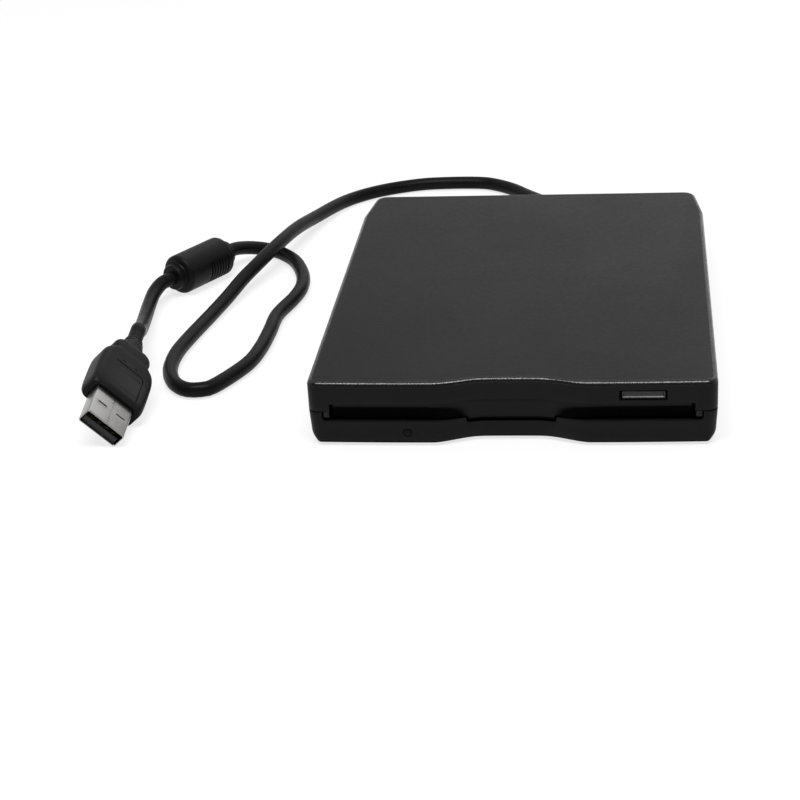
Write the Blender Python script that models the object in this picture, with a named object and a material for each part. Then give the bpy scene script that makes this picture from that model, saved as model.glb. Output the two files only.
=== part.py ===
"""External slim floppy disk drive with its captive lead, as an assembly of separate pieces.

Metres, +Z up. The origin is on the table under the middle of the case, and the slot faces -Y.
"""

import math

import bmesh
import bpy
from mathutils import Matrix, Vector

# Shared clearances
SEAT_GAP = 0.0003
RUN_GAP = 0.0004
OVERRUN = 0.002
ROUND_SIDES = 24
SMALL_SIDES = 12
SMOOTH_ANGLE = math.radians(35)
FLAT_ANGLE = math.radians(0.01)
CORNER_NAMES = ("front_left", "rear_left", "front_right", "rear_right")

# The disk that the drive takes, which the bay and mechanism are built round
DISK_WIDTH = 0.090
DISK_LEAD = 0.050
DISK_THICKNESS = 0.0033
DISK_DROP = 0.0020
DISK_LIFT = 0.0039
DISK_PLAY = 0.0006
OUTER_TRACK = 0.0395
HEAD_STROKE = 0.0148

# Sheet metal of the mechanism
SHEET = 0.0007
CHASSIS_WALL = 0.0008
SPINDLE_BACKSET = 0.0490
MOTOR_BAY = 0.034

# Case walls and the room round the mechanism
CASE_WALL = 0.0018
FRONT_WALL = 0.0016
FLOOR_WALL = 0.0014
TOP_WALL = 0.0016
SIDE_ROOM = 0.0018
FRONT_ROOM = 0.009
REAR_ROOM = 0.009
TOP_ROOM = 0.0009
FLOOR_ROOM = 0.0003
FOOT_LIFT = 0.0009

# Widths outwards from the bay, each half of the whole
CARRIER_INSIDE = DISK_WIDTH / 2 + RUN_GAP
CARRIER_OUTSIDE = CARRIER_INSIDE + SHEET
FLANGE_INSIDE = CARRIER_OUTSIDE + RUN_GAP
FLANGE_OUTSIDE = FLANGE_INSIDE + SHEET
CHASSIS_INSIDE = FLANGE_OUTSIDE + RUN_GAP
CHASSIS_OUTSIDE = CHASSIS_INSIDE + CHASSIS_WALL
HALF_WIDTH = CHASSIS_OUTSIDE + SIDE_ROOM + CASE_WALL

# Places along the drive
CHASSIS_LENGTH = SPINDLE_BACKSET - FRONT_ROOM + DISK_LEAD + MOTOR_BAY
CASE_LENGTH = FRONT_ROOM + CHASSIS_LENGTH + REAR_ROOM
FRONT = -CASE_LENGTH / 2
REAR = CASE_LENGTH / 2
CHASSIS_FRONT = FRONT + FRONT_ROOM
CHASSIS_REAR = REAR - REAR_ROOM
SPINDLE_Y = FRONT + SPINDLE_BACKSET
LEADING_EDGE = SPINDLE_Y + DISK_LEAD
HEAD_Y = SPINDLE_Y + OUTER_TRACK

# Heights upwards from the table
FLOOR_TOP = FOOT_LIFT + FLOOR_WALL
CHASSIS_BASE = FLOOR_TOP + FLOOR_ROOM
CHASSIS_TOP = CHASSIS_BASE + SHEET
RAIL_TOP = CHASSIS_TOP + DISK_LIFT - DISK_PLAY
BAY_TOP = RAIL_TOP + DISK_THICKNESS + 2 * DISK_PLAY
CARRIER_TOP = BAY_TOP + SHEET
LEVER_BASE = CARRIER_TOP + RUN_GAP
LEVER_TOP = LEVER_BASE + SHEET
SLIDER_BASE = LEVER_TOP + RUN_GAP
SLIDER_TOP = SLIDER_BASE + SHEET
LID_ROOM = 0.0008
LID_BASE = SLIDER_TOP + LID_ROOM
LID_TOP = LID_BASE + SHEET
CASE_TOP = LID_TOP + TOP_ROOM + TOP_WALL
SEAM_RISE = 0.0087
SEAM = FOOT_LIFT + SEAM_RISE

# Case outline in plan
FRONT_CORNER = 0.0030
REAR_CORNER = 0.0040
REAR_TAPER = 0.0018
REAR_TAPER_RUN = 0.018
FRONT_BOW = 0.0006
RECESS_OUTER = 0.0203
RECESS_INNER = 0.0065
RECESS_DEPTH_TOP = 0.0023
RECESS_DEPTH_BASE = 0.0034
RECESS_CROWN = 0.0005
SIDE_DRAFT = 0.00035
TOP_FILLET = 0.0013
BASE_SIDE_FILLET = 0.0032
BASE_FRONT_FILLET = 0.0004
FILLET_STEPS = 3
SEAM_GAP = 0.00025
TONGUE_RISE = 0.0010
TONGUE_THICKNESS = 0.0006

# Slot window, its lip and the finger notch
WINDOW_HALF = FLANGE_INSIDE - RUN_GAP / 2
LIP_OVERHANG = 0.0021
LIP_HALF = WINDOW_HALF + LIP_OVERHANG
LIP_CORNER = 0.0010
LIP_DROP = 0.0001
LIP = CHASSIS_TOP + DISK_LIFT - LIP_DROP
NOTCH_HALF = 0.0115
NOTCH_DROP = 0.0015
WINDOW_RISE = 0.0009
WINDOW_TOP = BAY_TOP + WINDOW_RISE

# Door flap
FLAP_SLIT = 0.0009
FLAP_HALF = WINDOW_HALF - FLAP_SLIT
FLAP_TOP_GAP = 0.00025
FLAP_THICKNESS = 0.0012
FLAP_DEPTH = 0.0019
FLAP_CURL_HEIGHT = 0.0043
FLAP_ROLL_SHARE = 0.18
FLAP_SETBACK = 0.0002
BULGE_FLAT = 0.0090
BULGE_HALF = 0.0260
BULGE_DROP = 0.0011
BULGE_SIDE = 0.0005
AXIS_BACKSET = 0.0041
AXIS_CLEAR = 0.0002
FLAP_AXIS_Y = FRONT + AXIS_BACKSET
FLAP_AXIS_Z = BAY_TOP + AXIS_BACKSET - FLAP_SETBACK + AXIS_CLEAR
PIN_RADIUS = 0.0006
PIN_LENGTH = 0.0032
ARM_THICKNESS = 0.0010
ARM_DEPTH = 0.0018
SPRING_WIRE = 0.00014
DOOR_SPRING_TURNS = 2
DOOR_SPRING_PITCH = 0.0005

# Bezel behind the front wall
EAR_THICKNESS = 0.0016
BEZEL_DEPTH = 0.0058
SILL_DROP = 0.0006
SILL_DEPTH = 0.0024
TAB_WIDTH = 0.0015
TAB_HEIGHT = 0.0015
TAB_INSET = 0.0005
TAB_LIFT = 0.0009

# Eject button and slider
BUTTON_INBOARD = 0.0118
BUTTON_X = DISK_WIDTH / 2 - BUTTON_INBOARD
BUTTON_WIDTH = 0.0112
BUTTON_HEIGHT = 0.0021
BUTTON_INSET = 0.0003
BUTTON_DEPTH = 0.0036
BUTTON_EDGE = 0.0003
BUTTON_PLAY = 0.0003
EJECT_TRAVEL = 0.0050
TONGUE_WIDTH = 0.0080
SLIDER_BACKSET = 0.0115
SLIDER_FRONT_Y = CHASSIS_FRONT + SLIDER_BACKSET
SLIDER_BAR = 0.0130
SLIDER_SHORTFALL = 0.0040
SLIDER_REAR_Y = LEADING_EDGE - SLIDER_SHORTFALL
SLIDER_ARM = 0.0060
FLANGE_DROP = 0.0050
SLOT_HALF = 0.0012
FOLLOWER_RADIUS = 0.0008
FOLLOWER_REACH_FRONT = 0.022
FOLLOWER_REACH_REAR = 0.030
FOLLOWER_DROP = 0.0010
FOLLOWER_Y = (SPINDLE_Y - FOLLOWER_REACH_FRONT, SPINDLE_Y + FOLLOWER_REACH_REAR)
FOLLOWER_Z = BAY_TOP - FOLLOWER_DROP
EJECT_SPRING_RADIUS = 0.0014
EJECT_SPRING_WIRE = 0.0002
EJECT_SPRING_TURNS = 7
EJECT_SPRING_LENGTH = 0.0095

# Disk carrier
CARRIER_BACKSET = 0.0046
CARRIER_OVERHANG = 0.0012
CARRIER_FRONT_Y = CHASSIS_FRONT + CARRIER_BACKSET
CARRIER_REAR_Y = LEADING_EDGE + CARRIER_OVERHANG
RAIL_WIDTH = 0.0036
HEAD_CUT_HALF = 0.0098
HEAD_CUT_REACH = 0.0080
HEAD_CUT_Y = HEAD_Y - HEAD_STROKE - HEAD_CUT_REACH

# Spindle
ROTOR_RADIUS = 0.0155
ROTOR_HEIGHT = 0.0010
ROTOR_LIFT = 0.0006
HUB_RADIUS = 0.0048
HUB_HEIGHT = 0.0007
CENTRE_PIN_RADIUS = 0.0020
CENTRE_PIN_HEIGHT = 0.0007
DRIVE_PIN_RADIUS = 0.0010
DRIVE_PIN_OFFSET = 0.0105
SHAFT_RADIUS = 0.0015
STATOR_RADIUS = 0.0185
STATOR_WIDTH = 0.0290
STATOR_TEETH = 12
STATOR_SHEET = 0.0010
STATOR_TOOTH = 0.0022
STATOR_TOOTH_SHARE = 0.75

# Head carriage, its rod and its screw
CARRIAGE_HALF = 0.0060
CARRIAGE_FLOOR = 0.0010
CARRIAGE_FRONT_REACH = 0.0045
POST_BACKSET = 0.0145
POST_DEPTH = 0.0050
HEAD_SIZE = 0.0056
HEAD_THICKNESS = 0.0012
ARM_WIDTH = 0.0076
ARM_THICK = 0.0010
ARM_LIFT = 0.0004
HINGE_RADIUS = 0.0009
ROD_X = -0.0150
ROD_RADIUS = 0.0007
ROD_LIFT = 0.0015
ROD_STATOR_GAP = 0.0012
ROD_REAR_INSET = 0.0050
BRACKET_THICKNESS = 0.0010
ROD_FRONT_Y = SPINDLE_Y + STATOR_RADIUS + ROD_STATOR_GAP + BRACKET_THICKNESS
ROD_REAR_Y = CHASSIS_REAR - ROD_REAR_INSET
BORE_GAP = 0.00012
SLEEVE_WALL = 0.00045
SCREW_X = 0.0170
SCREW_RADIUS = 0.0012
SCREW_LEAD = 0.00375
SCREW_LIFT = 0.0045
SCREW_BACKSET = 0.0017
SCREW_Z = CHASSIS_TOP + SCREW_LIFT
SCREW_FRONT_Y = LEADING_EDGE + SCREW_BACKSET
SCREW_REAR_Y = LEADING_EDGE + POST_BACKSET + POST_DEPTH + SCREW_BACKSET - SEAT_GAP
SCREW_GROOVE = 0.0002
MOTOR_RADIUS = 0.0045
MOTOR_LENGTH = 0.0100

# Shutter lever
LEVER_INBOARD = 0.0081
LEVER_BACKSET = 0.0060
LEVER_PIN_INBOARD = 0.0070
LEVER_PIN_REACH = 0.0265
LEVER_X = CHASSIS_INSIDE - LEVER_INBOARD
LEVER_Y = LEADING_EDGE + LEVER_BACKSET
LEVER_PIN_X = LEVER_X - LEVER_PIN_INBOARD
LEVER_PIN_Y = LEVER_Y - LEVER_PIN_REACH
LEVER_WIDTH = 0.0044
LEVER_PIN_RADIUS = 0.0009
LEVER_POST_RADIUS = 0.0013
LEVER_SPRING_WIRE = 0.00020
LEVER_SPRING_TURNS = 3

# Boards and what is on them
BOARD_SHEET = 0.0010
BOARD_LIFT = 0.0006
DRIVE_BOARD_LENGTH = 0.0300
CHIP_HEIGHT = 0.0012
SWITCH_WIDTH = 0.0050
SWITCH_DEPTH = 0.0040
SWITCH_HEIGHT = 0.0010
RIBBON_WIDTH = 0.0120
RIBBON_SHEET = 0.0003
RIBBON_RISE = 0.0022
SOCKET_WIDTH = 0.0100
SOCKET_DEPTH = 0.0050
SOCKET_HEIGHT = 0.0032
WIRE_RADIUS = 0.0009

# Small things on the case
LED_INBOARD = 0.0255
LED_RISE = 0.0031
LED_X = LED_INBOARD - HALF_WIDTH
LED_Z = FOOT_LIFT + LED_RISE
LED_RADIUS = 0.00105
LED_LENGTH = 0.0050
LED_FLANGE = 0.0004
FOOT_RADIUS = 0.0040
FOOT_POCKET = 0.0006
FOOT_INSET_X = 0.0090
FOOT_INSET_Y = 0.0120
SCREW_HEAD_RADIUS = 0.0019
SCREW_HEAD = 0.0008
SCREW_SHANK_RADIUS = 0.0009
SCREW_LENGTH = 0.0050
CASE_SCREW_INSET = 0.0054
CASE_SCREW_BACKSET = 0.0042
BOSS_WALL = 0.0010
LID_SCREW_INSET = 0.0050
LID_HEAD_SHARE = 0.7

# Lead, strain relief, bead and plug
CORD_RADIUS = 0.00215
CORD_POINTS = 62
BEAD_CORD_POINTS = 16
EXIT_X = 0.0065
EXIT_Z = SEAM - SEAT_GAP
RELIEF_NECK = 0.0034
RELIEF_FLANGE = 0.0046
RELIEF_TIP = 0.0029
RELIEF_LENGTH = 0.0140
RELIEF_RIBS = 4
RELIEF_GROOVE = 0.0005
BEAD_RADIUS = 0.0061
BEAD_LENGTH = 0.0250
BEAD_COLLAR_RADIUS = 0.0041
BEAD_COLLAR = 0.0026
BEAD_GROOVES = 7
BEAD_GROOVE_RUN = 0.0088
BEAD_GROOVE_DEPTH = 0.0004
BEAD_ASIDE = 0.10316
BEAD_FORWARD = 0.01714
BEAD_START = Vector((EXIT_X - BEAD_ASIDE, REAR - BEAD_FORWARD, BEAD_RADIUS))
BEAD_TURN = math.radians(-31.4)
PLUG_ASIDE = 0.1128
PLUG_FORWARD = 0.1428
PLUG_LIFT = 0.0059
PLUG_NOSE = Vector((EXIT_X - PLUG_ASIDE, REAR - PLUG_FORWARD, PLUG_LIFT))
PLUG_YAW = math.radians(0.3)
PLUG_PITCH = math.radians(8.6)
PLUG_ROLL = math.radians(46.9)
SHELL_WIDTH = 0.0120
SHELL_HEIGHT = 0.0045
SHELL_SHEET = 0.0003
SHELL_LENGTH = 0.0114
SHELL_CORNER = 0.0006
SHELL_SEAT = 0.0030
LATCH_HOLE = 0.0025
LATCH_HOLE_LENGTH = 0.0020
LATCH_HOLE_BACK = 0.0052
LATCH_HOLE_OFFSET = 0.0030
GRIP_HALF = 0.0080
GRIP_THICKNESS = 0.0078
GRIP_LENGTH = 0.0196
GRIP_CORNER = 0.0019
GRIP_RELIEF_LENGTH = 0.0102
GRIP_RELIEF_STEP_SHARE = 0.02
GRIP_RELIEF_RADIUS = 0.0040
TONGUE_BLADE = 0.0018
CONTACT_WIDTH = 0.0010
CONTACT_SHEET = 0.0002
CONTACT_PITCH = 0.0023
CONTACTS = 4

# Routes of the lead's middle line, from the drive to the bead and from the bead to the plug,
# measured from the point of the table under its way out of the rear wall
DRIVE_ROUTE = (
    (0.0000, 0.0180, 0.0089), (-0.0006, 0.0225, 0.0073), (-0.0023, 0.0280, 0.0051),
    (-0.0059, 0.0345, 0.0032), (-0.0110, 0.0425, 0.0023), (-0.0164, 0.0495, 0.0022),
    (-0.0222, 0.0544, 0.0022), (-0.0278, 0.0568, 0.0022), (-0.0390, 0.0573, 0.0022),
    (-0.0500, 0.0558, 0.0022), (-0.0632, 0.0495, 0.0022), (-0.0731, 0.0395, 0.0023),
    (-0.0800, 0.0210, 0.0038), (-0.0838, 0.0037, 0.0062), (-0.0871, -0.0135, 0.0073),
    (-0.0916, -0.0280, 0.0060), (-0.0946, -0.0360, 0.0046), (-0.0976, -0.0470, 0.0030),
    (-0.1005, -0.0593, 0.0022), (-0.1034, -0.0748, 0.0022), (-0.1050, -0.0867, 0.0022),
    (-0.1045, -0.0977, 0.0022), (-0.1017, -0.1063, 0.0022), (-0.0977, -0.1108, 0.0022),
    (-0.0937, -0.1113, 0.0022), (-0.0898, -0.1088, 0.0022), (-0.0834, -0.0953, 0.0022),
    (-0.0813, -0.0844, 0.0022), (-0.0806, -0.0717, 0.0022), (-0.0803, -0.0590, 0.0022),
    (-0.0773, -0.0462, 0.0022), (-0.0763, -0.0367, 0.0022), (-0.0776, -0.0269, 0.0022),
    (-0.0815, -0.0160, 0.0022), (-0.0870, -0.0085, 0.0022), (-0.0920, -0.0058, 0.0026),
    (-0.0965, -0.0080, 0.0041), (-0.1001, -0.0122, 0.0056),
)
PLUG_ROUTE = (
    (-0.1188, -0.0426, 0.0058), (-0.1200, -0.0475, 0.0048), (-0.1199, -0.0550, 0.0040),
    (-0.1187, -0.0660, 0.0044), (-0.1164, -0.0805, 0.0070), (-0.1148, -0.0880, 0.0101),
)

# Finishes: colour, roughness, metallic
BLACK_SHELL = ("satin_black_plastic", (0.020, 0.020, 0.021), 0.42, 0.0)
BLACK_INNER = ("inner_black_plastic", (0.012, 0.012, 0.013), 0.55, 0.0)
BLACK_RUBBER = ("black_rubber", (0.018, 0.018, 0.019), 0.60, 0.0)
BLACK_VINYL = ("black_vinyl", (0.016, 0.016, 0.017), 0.38, 0.0)
LAMP = ("smoked_lens", (0.10, 0.10, 0.10), 0.20, 0.0)
STEEL = ("zinc_steel", (0.62, 0.63, 0.64), 0.35, 1.0)
NICKEL = ("nickel_shell", (0.74, 0.73, 0.71), 0.25, 1.0)
GOLD = ("gold_contact", (0.85, 0.62, 0.25), 0.25, 1.0)
WHITE_RESIN = ("white_resin", (0.78, 0.78, 0.75), 0.45, 0.0)
GREY_RESIN = ("grey_resin", (0.20, 0.20, 0.21), 0.50, 0.0)
GREEN_BOARD = ("green_board", (0.03, 0.16, 0.07), 0.45, 0.0)
COPPER = ("copper_winding", (0.60, 0.28, 0.12), 0.40, 1.0)


def clear_scene():
    """Empties the scene that the script is run in."""
    for thing in list(bpy.data.objects):
        bpy.data.objects.remove(thing, do_unlink=True)


def material(finish):
    """The finish's material, made once."""
    name, colour, roughness, metallic = finish
    found = bpy.data.materials.get(name)
    if found:
        return found
    made = bpy.data.materials.new(name)
    made.use_nodes = True
    shader = made.node_tree.nodes["Principled BSDF"]
    shader.inputs["Base Color"].default_value = (*colour, 1.0)
    shader.inputs["Roughness"].default_value = roughness
    shader.inputs["Metallic"].default_value = metallic
    made.diffuse_color = (*colour, 1.0)
    return made


def object_of(name, vertices, faces):
    """A linked mesh object with its bent faces split flat and all of them turned outwards."""
    mesh = bpy.data.meshes.new(name)
    mesh.from_pydata([tuple(point) for point in vertices], [], faces)
    shape = bmesh.new()
    shape.from_mesh(mesh)
    bmesh.ops.connect_verts_nonplanar(shape, angle_limit=FLAT_ANGLE, faces=shape.faces)
    bmesh.ops.recalc_face_normals(shape, faces=shape.faces)
    shape.to_mesh(mesh)
    shape.free()
    made = bpy.data.objects.new(name, mesh)
    bpy.context.scene.collection.objects.link(made)
    return made


def loft(rings):
    """A closed solid through rings of equally many points."""
    count = len(rings[0])
    vertices = [point for ring in rings for point in ring]
    faces = [tuple(reversed(range(count)))]
    for low in range(0, count * (len(rings) - 1), count):
        for index in range(count):
            after = (index + 1) % count
            faces.append((low + index, low + after, low + count + after, low + count + index))
    last = count * (len(rings) - 1)
    faces.append(tuple(range(last, last + count)))
    return object_of("shape", vertices, faces)


def block(x_range, y_range, z_range):
    """A plain block between the given limits."""
    corners = [(x, y) for x, y in zip((0, 1, 1, 0), (0, 0, 1, 1))]
    rings = [[(x_range[x], y_range[y], z) for x, y in corners] for z in z_range]
    return loft(rings)


def prism(outline, limits, axis="Z"):
    """An outline drawn across an axis and drawn out between two limits along it.

    The outline's two values are X and Y across Z, X and Z across Y, and Y and Z across X.
    """
    place = {"Z": lambda a, b, c: (a, b, c), "Y": lambda a, b, c: (a, c, b), "X": lambda a, b, c: (c, a, b)}
    return loft([[place[axis](a, b, limit) for a, b in outline] for limit in limits])


def turned(profile, start, direction, sides=ROUND_SIDES):
    """A turned solid: distance along the direction and radius at each step of the profile."""
    turn = Vector(direction).to_track_quat("Z", "Y").to_matrix()
    angles = [math.tau * (index + 0.5) / sides for index in range(sides)]
    rings = []
    for distance, radius in profile:
        ring = [Vector((radius * math.cos(a), radius * math.sin(a), distance)) for a in angles]
        rings.append([Vector(start) + turn @ point for point in ring])
    return loft(rings)


def rod(start, end, radius, sides=SMALL_SIDES):
    """A round bar between two points."""
    run = Vector(end) - Vector(start)
    return turned([(0, radius), (run.length, radius)], start, run, sides)


def tube_mesh(name, points, radius, resolution):
    """A tube along the points, as a mesh with closed ends."""
    curve = bpy.data.curves.new(name, "CURVE")
    curve.dimensions = "3D"
    curve.bevel_depth = radius
    curve.bevel_resolution = resolution
    curve.use_fill_caps = True
    spline = curve.splines.new("POLY")
    spline.points.add(len(points) - 1)
    for spot, point in zip(spline.points, points):
        spot.co = (*point, 1)
    made = bpy.data.objects.new(name, curve)
    bpy.context.scene.collection.objects.link(made)
    return made


def baked(thing):
    """An object with its modifiers applied, and a curve turned into a mesh."""
    graph = bpy.context.evaluated_depsgraph_get()
    mesh = bpy.data.meshes.new_from_object(thing.evaluated_get(graph))
    if thing.type == "MESH":
        thing.modifiers.clear()
        thing.data = mesh
        return thing
    bpy.data.objects.remove(thing, do_unlink=True)
    made = bpy.data.objects.new("shape", mesh)
    bpy.context.scene.collection.objects.link(made)
    return made


def combined(base, others, operation):
    """Joins or cuts the base with each of the other solids, which are used up."""
    for other in others:
        step = base.modifiers.new("step", "BOOLEAN")
        step.object = other
        step.operation = operation
        step.solver = "EXACT"
    baked(base)
    for other in others:
        bpy.data.objects.remove(other, do_unlink=True)
    return base


def fused(shapes, cuts=()):
    """One solid from overlapping shapes, less the cuts."""
    base = shapes[0]
    if len(shapes) > 1:
        combined(base, shapes[1:], "UNION")
    if cuts:
        combined(base, cuts, "DIFFERENCE")
    return base


def piece(name, shape, finish, origin=(0, 0, 0)):
    """Names a finished solid, gives it its finish and puts its origin where it turns or sits."""
    shape.name = name
    shape.data.name = name
    shape.data.materials.clear()
    shape.data.materials.append(material(finish))
    if shape.type == "MESH":
        shape.data.transform(Matrix.Translation(-Vector(origin)))
        shape.location = origin
        shape.data.shade_smooth()
        shape.data.set_sharp_from_angle(angle=SMOOTH_ANGLE)
    return shape


def eased(share):
    """A smooth step from 0 to 1."""
    share = min(1.0, max(0.0, share))
    return share * share * (3 - 2 * share)


def spread(start, end, count):
    """Evenly spaced values, both ends included."""
    return [start + (end - start) * index / (count - 1) for index in range(count)]


def arc(centre, radius, start, end, steps):
    """Points of an arc, angles in degrees."""
    angles = [math.radians(angle) for angle in spread(start, end, steps + 1)]
    return [(centre[0] + radius * math.cos(a), centre[1] + radius * math.sin(a)) for a in angles]


def smooth_path(route, count):
    """Evenly spaced points on a smooth curve through the route's points."""
    knots = [Vector(point) for point in route]
    knots = [2 * knots[0] - knots[1]] + knots + [2 * knots[-1] - knots[-2]]
    fine = []
    steps = 24
    for before, start, end, after in zip(knots, knots[1:], knots[2:], knots[3:]):
        for step in range(steps):
            t = step / steps
            fine.append(
                (2 * start + (end - before) * t + (2 * before - 5 * start + 4 * end - after) * t * t
                 + (3 * start - before - 3 * end + after) * t ** 3) / 2
            )
    fine.append(knots[-2])
    reach = [0.0]
    for one, other in zip(fine, fine[1:]):
        reach.append(reach[-1] + (other - one).length)
    points = []
    index = 0
    for goal in spread(0, reach[-1], count):
        while index < len(fine) - 2 and reach[index + 1] < goal:
            index += 1
        points.append(fine[index].lerp(fine[index + 1], (goal - reach[index]) / (reach[index + 1]
                                                                                 - reach[index])))
    return points, reach[-1]


def coil_points(radius, pitch, turns, per_turn=10):
    """Points of a helix round Z, from the origin up."""
    return [
        Vector((radius * math.cos(math.tau * index / per_turn),
                radius * math.sin(math.tau * index / per_turn),
                pitch * index / per_turn))
        for index in range(turns * per_turn + 1)
    ]


def front_setback(x, depth):
    """How far the front lies behind its foremost line at x, for a finger recess of this depth."""
    reach = abs(x)
    recess = eased((RECESS_OUTER - reach) / (RECESS_OUTER - RECESS_INNER))
    crown = RECESS_CROWN * (1 - min(1.0, reach / RECESS_OUTER) ** 2)
    bow = FRONT_BOW * max(0.0, (reach - RECESS_OUTER) / (HALF_WIDTH - RECESS_OUTER)) ** 2
    return depth * recess + crown * recess + bow


def recess_depth(z):
    """Depth of the finger recess at a height."""
    share = (z - FOOT_LIFT) / (CASE_TOP - FOOT_LIFT)
    return RECESS_DEPTH_BASE + (RECESS_DEPTH_TOP - RECESS_DEPTH_BASE) * share


def front_at(x, z):
    """The case's front surface at x and z, without its draft."""
    return FRONT + front_setback(x, recess_depth(z))


def case_outline(depth):
    """Plan outline of the case, anticlockwise from the front left."""
    corner_x = HALF_WIDTH - FRONT_CORNER
    right = spread(0, RECESS_INNER, 3)[:-1] + spread(RECESS_INNER, RECESS_OUTER, 6)[:-1]
    right += spread(RECESS_OUTER, corner_x, 4)
    stations = [-x for x in reversed(right[1:])] + right
    front = [(x, FRONT + front_setback(x, depth)) for x in stations]
    corner_y = front[-1][1] + FRONT_CORNER
    side = arc((corner_x, corner_y), FRONT_CORNER, -90, 0, 4)[1:]
    side.append((HALF_WIDTH, REAR - REAR_TAPER_RUN))
    rear_x = HALF_WIDTH - REAR_TAPER - REAR_CORNER
    side += arc((rear_x, REAR - REAR_CORNER), REAR_CORNER, 5, 90, 5)
    other = [(-x, y) for x, y in reversed(side)]
    return front + side + other


def case_ring(z, side_inset, end_inset=None):
    """The case outline at a height, drawn in by one amount at the sides and another at the ends."""
    end_inset = side_inset if end_inset is None else end_inset
    outline = case_outline(recess_depth(z))
    count = len(outline)
    ring = []
    for index, (x, y) in enumerate(outline):
        before = outline[index - 1]
        after = outline[(index + 1) % count]
        along = Vector((after[0] - before[0], after[1] - before[1])).normalized()
        inward = Vector((-along.y, along.x))
        inset = side_inset * inward.x ** 2 + end_inset * inward.y ** 2
        ring.append((x + inward.x * inset, y + inward.y * inset, z))
    return ring


def upper_cover():
    """Top shell: drafted walls, rounded top edge, slot window, button hole and lead cut-out."""
    base = SEAM + SEAM_GAP
    rings = [case_ring(base, 0), case_ring(CASE_TOP - TOP_FILLET, SIDE_DRAFT)]
    for step in range(1, FILLET_STEPS + 1):
        angle = math.pi / 2 * step / FILLET_STEPS
        inset = SIDE_DRAFT + TOP_FILLET * (1 - math.cos(angle))
        rings.append(case_ring(CASE_TOP - TOP_FILLET * (1 - math.sin(angle)), inset))
    cuts = [
        loft([case_ring(SEAM - OVERRUN, CASE_WALL, FRONT_WALL),
              case_ring(CASE_TOP - TOP_WALL, CASE_WALL, FRONT_WALL)]),
        loft([case_ring(z, CASE_WALL - TONGUE_THICKNESS - SEAT_GAP) for z in (SEAM - OVERRUN,
                                                                              SEAM + TONGUE_RISE
                                                                              + SEAM_GAP)]),
        block((-WINDOW_HALF, WINDOW_HALF), (FRONT - OVERRUN, CHASSIS_FRONT), (SEAM - OVERRUN, WINDOW_TOP)),
        block(button_span(BUTTON_PLAY), (FRONT - OVERRUN, CHASSIS_FRONT - OVERRUN),
              (SLIDER_BASE - BUTTON_PLAY, SLIDER_BASE + BUTTON_HEIGHT + BUTTON_PLAY)),
        relief_hole(),
    ]
    shell = combined(loft(rings), cuts, "DIFFERENCE")
    bosses = [rod((x, y, SEAM + SEAM_GAP), (x, y, CASE_TOP - TOP_WALL / 2), SCREW_SHANK_RADIUS + BOSS_WALL)
              for x, y in case_screw_places()]
    holes = [rod((x, y, SEAM), (x, y, SEAM + SCREW_LENGTH), SCREW_SHANK_RADIUS + BORE_GAP) for x,
             y in case_screw_places()]
    combined(shell, bosses, "UNION")
    combined(shell, holes, "DIFFERENCE")
    return piece("upper_cover", shell, BLACK_SHELL, (0, 0, CASE_TOP))


def button_span(play):
    """The eject button's width range, with its play on each side."""
    return (BUTTON_X - BUTTON_WIDTH / 2 - play, BUTTON_X + BUTTON_WIDTH / 2 + play)


def relief_hole():
    """The round way out for the lead through the rear wall, shared by both shells."""
    return rod((EXIT_X, REAR - CASE_WALL * 2, EXIT_Z), (EXIT_X, REAR + OVERRUN, EXIT_Z),
               RELIEF_NECK + SEAT_GAP, ROUND_SIDES)


def lip_cutter():
    """The slot's wide cut in the lower shell, flared where it meets the seam."""
    corner = arc((-LIP_HALF - LIP_CORNER, SEAM - LIP_CORNER), LIP_CORNER, 70, 0, 3)
    left = [(corner[0][0], SEAM + OVERRUN)] + corner
    left.append((-LIP_HALF, LIP))
    right = [(-x, z) for x, z in reversed(left)]
    return prism(left + right, (FRONT - OVERRUN, CHASSIS_FRONT - OVERRUN), "Y")


def case_screw_places():
    """Where the two case screws stand, behind the mechanism."""
    x = CHASSIS_OUTSIDE - CASE_SCREW_INSET
    y = CHASSIS_REAR + CASE_SCREW_BACKSET
    return [(-x, y), (x, y)]


def foot_places():
    """Where the four feet sit, in the order of the corner names."""
    x = HALF_WIDTH - FOOT_INSET_X
    y = REAR - FOOT_INSET_Y
    return [(side, end) for side in (-x, x) for end in (-y, y)]


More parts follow.
